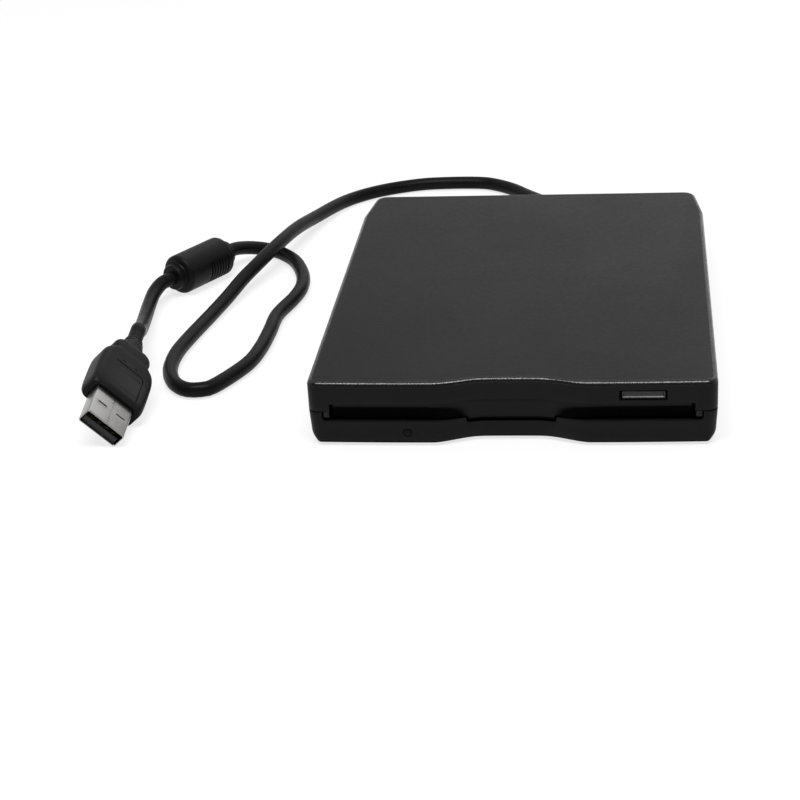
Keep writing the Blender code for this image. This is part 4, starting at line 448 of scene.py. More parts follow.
class Paint:
    """Makes each finish's material once and puts it on pieces."""

    def __init__(self) -> None:
        """Start with nothing made."""
        self.made: dict[Finish, bpy.types.Material] = {}

    def of(self, finish: Finish) -> bpy.types.Material:
        """Find the material of one finish, and make it at its first use.

        Args:
            finish: The finish.

        Returns:
            Its material.
        """
        if finish not in self.made:
            self.made[finish] = finish.value.material()
        return self.made[finish]

    def on(self, piece: bpy.types.Object, finish: Finish) -> bpy.types.Object:
        """Give a whole piece one finish.

        Args:
            piece: A new piece or a CAD node's object.
            finish: The finish to use.

        Returns:
            The same piece.
        """
        material = self.of(finish)
        if piece.material_slots:
            for place in piece.material_slots:
                place.material = material
        else:
            piece.data.materials.append(material)
        return piece


# Workbench

class Bench:
    """Modelling steps made of Blender's own operators."""

    def clear(self) -> None:
        """Deselect everything in the scene."""
        if bpy.context.mode != "OBJECT":
            bpy.ops.object.mode_set(mode="OBJECT")
        bpy.ops.object.select_all(action="DESELECT")

    def take(self, thing: bpy.types.Object) -> bpy.types.Object:
        """Make one object the only selected and active one.

        Args:
            thing: The object.

        Returns:
            The same object.
        """
        self.clear()
        thing.select_set(True)
        bpy.context.view_layer.objects.active = thing
        return thing

    def loft(self, name: str, rings: Sequence[Ring], closed: bool = False) -> bpy.types.Object:
        """Pull one loop of points through a row of places.

        Args:
            name: Name of the piece.
            rings: Loops with the same number of points, in order.
            closed: True where the last loop meets the first, as on a tube bent into itself.

        Returns:
            The closed body.
        """
        self.clear()
        count = len(rings[0])
        bpy.ops.mesh.primitive_circle_add(vertices=count, radius=0.01, fill_type="NOTHING")
        made = bpy.context.active_object
        made.name = name
        made.data.name = name
        bpy.ops.object.mode_set(mode="EDIT")
        mesh = bmesh.from_edit_mesh(made.data)
        station = mesh.verts.layers.int.new("station")
        mesh.verts.ensure_lookup_table()
        for vert in mesh.verts:
            vert[station] = vert.index
        self._lay(made, rings[0])
        bpy.ops.mesh.select_all(action="SELECT")
        for ring in rings[1:]:
            bpy.ops.mesh.extrude_edges_move()
            self._lay(made, ring)
        if closed:
            self._select_open(made)
            bpy.ops.mesh.bridge_edge_loops()
        else:
            for loop in (rings[-1], rings[0]):
                self._select_at(made, loop)
                bpy.ops.mesh.edge_face_add()
        bpy.ops.mesh.select_all(action="SELECT")
        bpy.ops.mesh.normals_make_consistent(inside=False)
        bpy.ops.object.mode_set(mode="OBJECT")
        return made

    def _lay(self, made: bpy.types.Object, ring: Ring) -> None:
        """Move the selected points to the ring's places.

        Args:
            made: The body in edit mode.
            ring: Places by station.
        """
        mesh = bmesh.from_edit_mesh(made.data)
        station = mesh.verts.layers.int["station"]
        for vert in mesh.verts:
            if vert.select:
                vert.co = ring[vert[station]]
        bmesh.update_edit_mesh(made.data)

    def _select_open(self, made: bpy.types.Object) -> None:
        """Select the edges that have fewer than two faces.

        Args:
            made: The body in edit mode.
        """
        bpy.ops.mesh.select_all(action="DESELECT")
        bpy.ops.mesh.select_mode(type="EDGE")
        mesh = bmesh.from_edit_mesh(made.data)
        for edge in mesh.edges:
            edge.select_set(len(edge.link_faces) < 2)
        bmesh.update_edit_mesh(made.data)

    def _select_at(self, made: bpy.types.Object, ring: Ring) -> None:
        """Select the open loop that lies on a ring.

        Args:
            made: The body in edit mode.
            ring: Places by station.
        """
        bpy.ops.mesh.select_all(action="DESELECT")
        bpy.ops.mesh.select_mode(type="EDGE")
        mesh = bmesh.from_edit_mesh(made.data)
        station = mesh.verts.layers.int["station"]
        for edge in mesh.edges:
            here = all((vert.co - ring[vert[station]]).length < 1e-7 for vert in edge.verts)
            edge.select_set(here and len(edge.link_faces) < 2)
        bmesh.update_edit_mesh(made.data)

    def block(self, name: str, low: Sequence[float], high: Sequence[float], edge: float = 0.0,
              steps: int = 3) -> bpy.types.Object:
        """A box between two corners with rounded edges.

        Args:
            name: Name of the piece.
            low: Lowest corner.
            high: Highest corner.
            edge: Radius of its edges.
            steps: Segments of each edge.

        Returns:
            The box.
        """
        self.clear()
        middle = (Vector(low) + Vector(high)) / 2
        size = Vector(high) - Vector(low)
        bpy.ops.mesh.primitive_cube_add(size=1, location=middle)
        made = bpy.context.active_object
        made.name = name
        made.scale = size
        bpy.ops.object.transform_apply(location=True, rotation=True, scale=True)
        if edge:
            bpy.ops.object.mode_set(mode="EDIT")
            bpy.ops.mesh.select_all(action="SELECT")
            bpy.ops.mesh.bevel(offset=edge, segments=steps, affect="EDGES")
            bpy.ops.object.mode_set(mode="OBJECT")
        return made

    def rod(self, name: str, start: Vector, end: Vector, radius: float, sides: int = 48,
            chamfer: float = 0.0) -> bpy.types.Object:
        """A round bar between two points, with eased ends.

        Args:
            name: Name of the piece.
            start: Centre of one end.
            end: Centre of the other end.
            radius: Its radius.
            sides: Number of sides.
            chamfer: Size of the eased edge.

        Returns:
            The bar.
        """
        profile = [(0.0, radius - chamfer), (chamfer, radius), ((end - start).length - chamfer, radius),
                   ((end - start).length, radius - chamfer)]
        if not chamfer:
            profile = [(0.0, radius), ((end - start).length, radius)]
        return self.turned(name, profile, start, end - start, sides)

    def turned(self, name: str, profile: Sequence[tuple[float, float]], start: Vector, along: Vector,
               sides: int = 64, shape: Optional[Callable[[float, float], float]] = None) -> bpy.types.Object:
        """Turn a profile of distance and radius round an axis.

        Args:
            name: Name of the piece.
            profile: Pairs of distance along the axis and radius.
            start: Where the distance is nought.
            along: Direction of the axis.
            sides: Number of sides.
            shape: Takes distance and angle, and gives what is added to the radius there.

        Returns:
            The turned body, its ends closed.
        """
        axis = along.normalized()
        side = axis.cross(Vector((0, 0, 1)))
        side = Vector((1, 0, 0)) if side.length < 1e-6 else side.normalized()
        up = side.cross(axis)
        rings = []
        for distance, radius in profile:
            ring = []
            for number in range(sides):
                angle = 2 * math.pi * number / sides
                far = radius + (shape(distance, angle) if shape else 0.0)
                ring.append(start + axis * distance + (side * math.cos(angle) + up * math.sin(angle)) * far)
            rings.append(ring)
        return self.loft(name, rings)

    def cut(self, made: bpy.types.Object, *cutters: bpy.types.Object) -> bpy.types.Object:
        """Take each cutter out of a piece.

        Args:
            made: The piece.
            cutters: Closed bodies, deleted afterwards.

        Returns:
            The piece.
        """
        return self._boolean(made, cutters, "DIFFERENCE")

    def join(self, made: bpy.types.Object, *others: bpy.types.Object) -> bpy.types.Object:
        """Fuse other bodies with a piece, and return it."""
        return self._boolean(made, others, "UNION")

    def _boolean(self, made: bpy.types.Object, others: Iterable[bpy.types.Object],
                 operation: str) -> bpy.types.Object:
        """Apply one Boolean modifier for each other body.

        Args:
            made: The piece.
            others: The other bodies, deleted afterwards.
            operation: The modifier's operation.

        Returns:
            The piece.
        """
        for other in others:
            self.take(made)
            step = made.modifiers.new("step", "BOOLEAN")
            step.operation = operation
            step.solver = "EXACT"
            step.object = other
            bpy.ops.object.modifier_apply(modifier=step.name)
            bpy.data.objects.remove(other)
        return made

    def soften(self, made: bpy.types.Object, width: float, steps: int = 2,
               angle: float = 40) -> bpy.types.Object:
        """Round the sharp edges of a piece.

        Args:
            made: The piece.
            width: Size of the rounding.
            steps: Segments.
            angle: Least angle in degrees that counts as sharp.

        Returns:
            The piece.
        """
        self.take(made)
        step = made.modifiers.new("soften", "BEVEL")
        step.width = width
        step.segments = steps
        step.limit_method = "ANGLE"
        step.angle_limit = math.radians(angle)
        step.miter_outer = "MITER_ARC"
        bpy.ops.object.modifier_apply(modifier=step.name)
        return made

    def smooth(self, made: bpy.types.Object, angle: float = 32) -> bpy.types.Object:
        """Shade a piece smooth below an angle.

        Args:
            made: The piece.
            angle: The angle in degrees.

        Returns:
            The piece.
        """
        self.take(made)
        bpy.ops.object.shade_smooth_by_angle(angle=math.radians(angle))
        return made

    def move(self, made: bpy.types.Object, matrix: Matrix) -> bpy.types.Object:
        """Carry a piece's mesh by a matrix."""
        made.data.transform(matrix)
        return made


# Curves and outlines

def eased(share: float) -> float:
    """Smooth step from 0 to 1."""
    share = min(1.0, max(0.0, share))
    return share * share * (3 - 2 * share)


def spread(start: float, end: float, count: int) -> list[float]:
    """Even values from start to end."""
    return [start + (end - start) * index / (count - 1) for index in range(count)]


def smooth_path(route: Sequence[Vector], count: int) -> list[Vector]:
    """Even points on a Catmull-Rom curve through a route.

    Args:
        route: Points that the curve passes.
        count: Number of points wanted.

    Returns:
        The points.
    """
    ends = [2 * route[0] - route[1], *route, 2 * route[-1] - route[-2]]
    fine: Ring = []
    for one, two, three, four in zip(ends, ends[1:], ends[2:], ends[3:]):
        for step in range(24):
            t = step / 24
            fine.append(0.5 * (2 * two + (three - one) * t + (2 * one - 5 * two + 4 * three - four) * t * t
                               + (3 * two - one - 3 * three + four) * t ** 3))
    fine.append(Vector(route[-1]))
    reach = [0.0]
    for one, two in zip(fine, fine[1:]):
        reach.append(reach[-1] + (two - one).length)
    points: Ring = []
    index = 0
    for number in range(count):
        target = reach[-1] * number / (count - 1)
        while index < len(reach) - 2 and reach[index + 1] < target:
            index += 1
        span = reach[index + 1] - reach[index]
        points.append(fine[index].lerp(fine[index + 1], (target - reach[index]) / span if span else 0.0))
    return points


def length_of(points: Sequence[Vector]) -> float:
    """Length of a row of points."""
    return sum((two - one).length for one, two in zip(points, points[1:]))


@dataclass
class CaseShape:
    """Plan and heights of the case, which both halves and the door share."""

    half_width: float = 0.052
    front: float = -0.071
    rear: float = 0.071
    base: float = 0.0009
    seam: float = 0.0096
    seam_gap: float = 0.00025
    top: float = 0.018
    front_corner: float = 0.003
    rear_corner: float = 0.004
    rear_taper: float = 0.0018
    rear_taper_run: float = 0.018
    front_bow: float = 0.0006
    recess_outer: float = 0.0203
    recess_inner: float = 0.0065
    recess_top: float = 0.0023
    recess_base: float = 0.0034
    recess_crown: float = 0.0005
    draft: float = 0.00035
    side_wall: float = 0.0018
    front_wall: float = 0.0016
    window_half: float = 0.0463
    window_top: float = 0.0120
    cut_start: float = -0.078
    lead_place: tuple[float, float] = (0.0065, 0.0093)
    lead_span: tuple[float, float] = (0.0660, 0.0760)
    lead_radius: float = 0.0037
    ease: float = 0.00018

    def setback(self, x: float, depth: float) -> float:
        """Work out how far the front stands back from its foremost line.

        Args:
            x: Place across the case.
            depth: Depth of the recess.

        Returns:
            The distance.
        """
        reach = abs(x)
        recess = eased((self.recess_outer - reach) / (self.recess_outer - self.recess_inner))
        crown = self.recess_crown * (1 - min(1.0, reach / self.recess_outer) ** 2)
        past = max(0.0, (reach - self.recess_outer) / (self.half_width - self.recess_outer))
        return depth * recess + crown * recess + self.front_bow * past ** 2

    def depth(self, z: float) -> float:
        """Depth of the front recess at a height."""
        share = (z - self.base) / (self.top - self.base)
        return self.recess_base + (self.recess_top - self.recess_base) * share

    def front_at(self, x: float, z: float) -> float:
        """Place of the front face at x and z."""
        return self.front + self.setback(x, self.depth(z))

    def outline(self, depth: float) -> list[tuple[float, float]]:
        """Plan outline, anticlockwise from the middle of the front.

        Args:
            depth: Depth of the recess at this height.

        Returns:
            Points round the case.
        """
        edge = self.half_width - self.front_corner
        xs = spread(0, self.recess_inner, 9)[:-1] + spread(self.recess_inner, self.recess_outer, 25)[:-1]
        xs += spread(self.recess_outer, edge, 13)
        right = [(x, self.front + self.setback(x, depth)) for x in xs]
        corner_y = right[-1][1] + self.front_corner
        for step in range(1, 13):
            angle = math.radians(-90 + 90 * step / 12)
            right.append((edge + self.front_corner * math.cos(angle),
                          corner_y + self.front_corner * math.sin(angle)))
        for share in (0.25, 0.5, 0.75):
            right.append((self.half_width, corner_y + (self.rear - self.rear_taper_run - corner_y) * share))
        right.append((self.half_width, self.rear - self.rear_taper_run))
        centre = (self.half_width - self.rear_taper - self.rear_corner, self.rear - self.rear_corner)
        for step in range(13):
            angle = math.radians(5 + 85 * step / 12)
            right.append((centre[0] + self.rear_corner * math.cos(angle),
                          centre[1] + self.rear_corner * math.sin(angle)))
        left = [(-x, y) for x, y in reversed(right[1:])]
        return right + left

    def ring(self, z: float, side_inset: float, end_inset: Optional[float] = None) -> Ring:
        """The outline at a height, drawn in from the case's largest size.

        Args:
            z: Height.
            side_inset: How far the sides come in.
            end_inset: How far front and rear come in, as the sides by default.

        Returns:
            The loop of points.
        """
        end_inset = side_inset if end_inset is None else end_inset
        flat = self.outline(self.depth(z))
        count = len(flat)
        loop: Ring = []
        for index, (x, y) in enumerate(flat):
            before, after = flat[index - 1], flat[(index + 1) % count]
            way = Vector((after[0] - before[0], after[1] - before[1], 0)).normalized()
            normal = Vector((way.y, -way.x, 0))
            inset = side_inset * normal.x ** 2 + end_inset * normal.y ** 2
            loop.append(Vector((x, y, z)) - normal * inset)
        return loop


# Camera, lamps, floor

@dataclass
class Studio:
    """Camera at the photographed angle, soft lamps and a white table that keeps a faint shadow."""

    lens: float = 89.24
    place: tuple[float, float, float] = (0.03157, -0.52243, 0.22695)
    yaw: float = -7.502
    pitch: float = 25.130
    roll: float = -3.434
    table: float = 6.0
    shadow_share: float = 0.25
    front_light: float = 0.04
    rear_light: float = 0.72
    light_span: tuple[float, float] = (-0.35, 0.25)
    softboxes: tuple[tuple[str, Sequence[float], Sequence[float], float], ...] = (
        ("overhead_softbox", (0, -0.45, 1.3), (1.0, 0.5), 20),
        ("rear_softbox", (0.45, 1.5, 1.15), (1.5, 0.9), 4))

    def build(self) -> None:
        """Set up camera, floor, backdrop light and lamps."""
        self.camera()
        self.floor()
        self.world()
        self.lamps()
        bpy.context.scene.view_settings.view_transform = "Standard"
        LOG.info("studio is ready")

    def camera(self) -> None:
        """Place the camera."""
        yaw, pitch, roll = (math.radians(angle) for angle in (self.yaw, self.pitch, self.roll))
        forward = Vector((math.sin(yaw) * math.cos(pitch), math.cos(yaw) * math.cos(pitch), -math.sin(pitch)))
        right = Vector((math.cos(yaw), -math.sin(yaw), 0))
        up = right.cross(forward)
        right, up = (math.cos(roll) * right + math.sin(roll) * up,
                     -math.sin(roll) * right + math.cos(roll) * up)
        data = bpy.data.cameras.new("camera")
        data.lens = self.lens
        data.sensor_width = 36
        data.clip_start = 0.01
        made = bpy.data.objects.new("camera", data)
        bpy.context.scene.collection.objects.link(made)
        turn = Matrix((right, up, -forward)).transposed()
        made.matrix_world = Matrix.Translation(self.place) @ turn.to_4x4()
        bpy.context.scene.camera = made

    def _seen(self, graph: Graph) -> Value:
        """Tell the rays that show the background itself, seen straight, mirrored or through glass.

        Args:
            graph: The material's graph.

        Returns:
            1 for such rays, 0 for others.
        """
        path = graph.node("ShaderNodeLightPath")
        total = graph.value(path, "Is Camera Ray") + graph.value(path, "Is Transmission Ray")
        return (total + graph.value(path, "Is Glossy Ray")).at_most(1.0)

    def floor(self) -> None:
        """A round table whose white comes from its own glow, with a little diffuse for the shadow."""
        bpy.ops.object.select_all(action="DESELECT")
        bpy.ops.mesh.primitive_circle_add(vertices=96, radius=self.table, fill_type="NGON")
        made = bpy.context.active_object
        made.name = "table_top"
        graph = Graph("table_white")
        seen = self._seen(graph)
        white = graph.node("ShaderNodeEmission", None, {"Color": (1, 1, 1, 1), "Strength": 1.0})
        plain = graph.node("ShaderNodeBsdfDiffuse", None, {"Color": (0.9, 0.9, 0.9, 1)})
        mixed = graph.node("ShaderNodeMixShader", None,
                           {0: seen * (1.0 - self.shadow_share), 1: plain.outputs[0], 2: white.outputs[0]})
        end = next(n for n in graph.tree.nodes if n.type == "OUTPUT_MATERIAL")
        graph.tree.links.new(mixed.outputs[0], end.inputs["Surface"])
        made.data.materials.append(graph.material)

    def world(self) -> None:
        """Pale surroundings that light softly and look white."""
        world = bpy.data.worlds.new("surroundings")
        bpy.context.scene.world = world
        world.use_nodes = True
        tree = world.node_tree
        back = next(n for n in tree.nodes if n.type == "BACKGROUND")
        path = tree.nodes.new("ShaderNodeLightPath")
        mix = tree.nodes.new("ShaderNodeMix")
        mix.data_type = "FLOAT"
        tree.links.new(path.outputs["Is Camera Ray"], mix.inputs[0])
        way = tree.nodes.new("ShaderNodeTexCoord")
        parts = tree.nodes.new("ShaderNodeSeparateXYZ")
        tree.links.new(way.outputs["Generated"], parts.inputs[0])
        fade = tree.nodes.new("ShaderNodeMapRange")
        for key, value in {"From Min": self.light_span[0], "From Max": self.light_span[1],
                           "To Min": self.front_light, "To Max": self.rear_light}.items():
            fade.inputs[key].default_value = value
        tree.links.new(parts.outputs["Y"], fade.inputs["Value"])
        tree.links.new(fade.outputs[0], mix.inputs[2])
        mix.inputs[3].default_value = 1.0
        tree.links.new(mix.outputs[0], back.inputs["Strength"])
        back.inputs["Color"].default_value = (1, 1, 1, 1)

    def lamp(self, name: str, place: Sequence[float], target: Sequence[float], size: Sequence[float],
             power: float) -> None:
        """One soft rectangular lamp.

        Args:
            name: Name of the lamp.
            place: Where it hangs.
            target: Where it points.
            size: Width and height.
            power: Watts.
        """
        data = bpy.data.lights.new(name, "AREA")
        data.shape = "RECTANGLE"
        data.size, data.size_y = size
        data.energy = power
        made = bpy.data.objects.new(name, data)
        bpy.context.scene.collection.objects.link(made)
        made.location = place
        way = Vector(target) - Vector(place)
        made.rotation_euler = way.to_track_quat("-Z", "Y").to_euler()

    def lamps(self) -> None:
        """The studio's lamps."""
        for name, place, size, power in self.softboxes:
            self.lamp(name, place, (0, 0, 0), size, power)


# Lead

@dataclass
class Lead:
    """The captive lead: two free stretches, from the drive to the bead and on to the plug."""

    radius: float = 0.00215
    relief_end: tuple[float, float, float] = (0.0065, 0.084375, 0.0093)
    bead_start: tuple[float, float, float] = (-0.09666, 0.05386, 0.0061)
    bead_turn: float = -31.4
    bead_length: float = 0.0250
    seat: float = 0.0003
    plug_nose: tuple[float, float, float] = (-0.1063, -0.0718, 0.0059)
    plug_turn: tuple[float, float, float] = (8.6, 46.9, 0.3)
    plug_end_back: float = 0.042004

    def __post_init__(self) -> None:
        """Work out the directions that the pieces share."""
        turn = math.radians(self.bead_turn)
        self.along = Vector((math.sin(turn), -math.cos(turn), 0))
        pitch, roll, yaw = (math.radians(angle) for angle in self.plug_turn)
        self.plug_frame = Matrix.Translation(self.plug_nose) @ Euler((pitch, roll, yaw),
                                                                     "YXZ").to_matrix().to_4x4()

    def routes(self) -> tuple[Ring, Ring]:
        """List the points that each stretch passes.

        Returns:
            The long way and the short one.
        """
        step = self.radius * 2
        first = Vector(self.relief_end)
        start = Vector(self.bead_start)
        bead_in = start - self.along * self.seat
        drive = (
            (0.0065, 0.0890, 0.0089), (0.0059, 0.0935, 0.0073), (0.0042, 0.0990, 0.0051),
            (0.0006, 0.1055, 0.0032),
            (-0.0045, 0.1135, 0.0023), (-0.0099, 0.1205, 0.0022), (-0.0157, 0.1254, 0.0022),
            (-0.0213, 0.1278, 0.0022), (-0.0325, 0.1283, 0.0022), (-0.0435, 0.1268, 0.0022),
            (-0.0567, 0.1205, 0.0022), (-0.0666, 0.1105, 0.0023), (-0.0735, 0.0920, 0.0038),
            (-0.0773, 0.0747, 0.0062), (-0.0806, 0.0575, 0.0073), (-0.0851, 0.0430, 0.0060),
            (-0.0881, 0.0350, 0.0046), (-0.0911, 0.0240, 0.0030), (-0.0940, 0.0117, 0.0022),
            (-0.0969, -0.0038, 0.0022), (-0.0985, -0.0157, 0.0022), (-0.0980, -0.0267, 0.0022),
            (-0.0952, -0.0353, 0.0022), (-0.0912, -0.0398, 0.0022), (-0.0872, -0.0403, 0.0022),
            (-0.0833, -0.0378, 0.0022), (-0.0769, -0.0243, 0.0022), (-0.0748, -0.0134, 0.0022),
            (-0.0741, -0.0007, 0.0022), (-0.0738, 0.0120, 0.0022), (-0.0708, 0.0248, 0.0022),
            (-0.0698, 0.0343, 0.0022), (-0.0711, 0.0441, 0.0022), (-0.0750, 0.0550, 0.0022),
            (-0.0805, 0.0625, 0.0022), (-0.0855, 0.0652, 0.0026), (-0.0900, 0.0630, 0.0041),
            (-0.0936, 0.0588, 0.0056))
        long_way = [first, first + Vector((0, step / 2, 0)), *(Vector(point) for point in drive),
                    bead_in - self.along * step / 2, bead_in]
        bead_out = start + self.along * (self.bead_length + self.seat)
        end = self.plug_frame @ Vector((0, self.plug_end_back, 0))
        back = (self.plug_frame.to_3x3() @ Vector((0, 1, 0))).normalized()
        middle = ((-0.1123, 0.0284, 0.0058), (-0.1135, 0.0235, 0.0048), (-0.1134, 0.0160, 0.0040),
                  (-0.1122, 0.0050, 0.0044), (-0.1099, -0.0095, 0.0070), (-0.1083, -0.0170, 0.0101))
        short_way = [bead_out, bead_out + self.along * step / 2, *(Vector(point) for point in middle),
                     end + back * step * 1.5, end + back * step * 0.8, end]
        return long_way, short_way

    def stretch(self, name: str, points: Ring) -> bpy.types.Object:
        """One free stretch as a round curve.

        Args:
            name: Name of the piece.
            points: Its centreline.

        Returns:
            The curve object.
        """
        data = bpy.data.curves.new(name, "CURVE")
        data.dimensions = "3D"
        data.bevel_depth = self.radius
        data.bevel_resolution = 6
        data.use_fill_caps = True
        line = data.splines.new("POLY")
        line.points.add(len(points) - 1)
        for spot, point in zip(line.points, points):
            spot.co = (*point, 1)
        line.use_smooth = True
        made = bpy.data.objects.new(name, data)
        bpy.context.scene.collection.objects.link(made)
        return made

    def build(self, paint: Paint) -> tuple[bpy.types.Object, bpy.types.Object]:
        """Make and dress both stretches.

        Args:
            paint: Where the finishes come from.

        Returns:
            The long stretch and the short one.
        """
        made = []
        for name, node, route, count in (("lead_long", "cord_drive_to_bead", self.routes()[0], LONG_POINTS),
                                         ("lead_short", "cord_bead_to_plug", self.routes()[1], SHORT_POINTS)):
            piece = self.stretch(name, smooth_path(route, count))
            paint.on(piece, Finish.LEAD)
            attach(piece, "drive")
            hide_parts(node)
            made.append(piece)
            LOG.info("built %s", name)
        return made[0], made[1]


# Pieces

@dataclass
class Builder:
    """What every sub-assembly class shares: the bench, the paint pot and the case's shape."""

    bench: Bench
    paint: Paint
    shape: CaseShape

    def keep(self, piece: bpy.types.Object, finish: Finish, body: str, slot: str,
             *nodes: str) -> bpy.types.Object:
        """Dress a finished piece, parent it to its body's empty and hide the CAD nodes it stands for.

        Args:
            piece: The finished piece.
            finish: Its finish.
            body: The body that it rides on.
            slot: Not used.
            nodes: CAD nodes that it stands for.

        Returns:
            The piece.
        """
        self.paint.on(piece, finish)
        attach(piece, body)
        if nodes:
            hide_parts(*nodes)
        LOG.info("built %s", piece.name)
        return piece

    def lead_hole(self) -> bpy.types.Object:
        """Make the cutter for the lead's way out through the rear wall.

        Returns:
            A rod, which leaves half a hole in each case half.
        """
        x, z = self.shape.lead_place
        start, end = (Vector((x, y, z)) for y in self.shape.lead_span)
        return self.bench.rod("cut", start, end, self.shape.lead_radius)

    def ease_case(self, made: bpy.types.Object) -> None:
        """Ease the edges that the cutters left, and shade the half."""
        self.bench.soften(made, self.shape.ease, 2, 50)
        self.bench.smooth(made, 30)

    @staticmethod
    def mark_painted_shade(piece: bpy.types.Object, rule: Callable[[Vector], float]) -> None:
        """Write how much painted shade each point of a piece gets, as a mesh attribute.

        Args:
            piece: The finished mesh.
            rule: Takes a place and gives a share from 0 to 1.
        """
        layer = piece.data.attributes.new("hollow", "FLOAT", "POINT")
        for index, vert in enumerate(piece.data.vertices):
            layer.data[index].value = rule(vert.co)


@dataclass
class UpperCase(Builder):
    """The upper half of the case: a lofted shell with a rounded top edge, slot window and key opening."""

    top_fillet: float = 0.0013
    roof: float = 0.0164
    fillet_steps: int = 8
    lip_round: float = 0.0002
    cut_end: float = -0.0630
    window_low: float = 0.0085
    key_low: tuple[float, float] = (0.0274, 0.0129)
    key_high: tuple[float, float] = (0.0394, 0.0157)

    def rings(self) -> list[Ring]:
        """Shape the half's section.

        Returns:
            Loops from the middle of the top, down the outside and up the inside.
        """
        shape = self.shape
        low = shape.seam + shape.seam_gap
        loops = []
        for step in range(self.fillet_steps + 1):
            angle = math.radians(90 * (1 - step / self.fillet_steps))
            inset = self.top_fillet * (1 - math.cos(angle))
            loops.append(shape.ring(shape.top - self.top_fillet * (1 - math.sin(angle)), inset))
        height = shape.top - self.top_fillet - low
        for share in (0.35, 0.7):
            loops.append(shape.ring(shape.top - self.top_fillet - height * share, 0.0))
        for angle in (0, 30, 60, 90):
            turn = math.radians(angle)
            loops.append(shape.ring(low + self.lip_round * (1 - math.sin(turn)),
                                    self.lip_round * (1 - math.cos(turn))))
        loops.append(shape.ring(low, shape.side_wall - self.lip_round, shape.front_wall - self.lip_round))
        loops.append(shape.ring(low + self.lip_round, shape.side_wall, shape.front_wall))
        loops.append(shape.ring(self.roof, shape.side_wall, shape.front_wall))
        return loops

    def build(self) -> bpy.types.Object:
        """Make the shell and cut its openings.

        Returns:
            The upper half.
        """
        bench, shape = self.bench, self.shape
        made = bench.loft("case_upper", self.rings())
        start, end, half = shape.cut_start, self.cut_end, shape.window_half
        window = bench.block("cut", (-half, start, self.window_low), (half, end, shape.window_top))
        key = bench.block("cut", (self.key_low[0], start, self.key_low[1]),
                          (self.key_high[0], end, self.key_high[1]))
        bench.cut(made, window, key, self.lead_hole())
        self.ease_case(made)
        return self.keep(made, Finish.CASE, "drive", "case_plastic", "upper_cover")


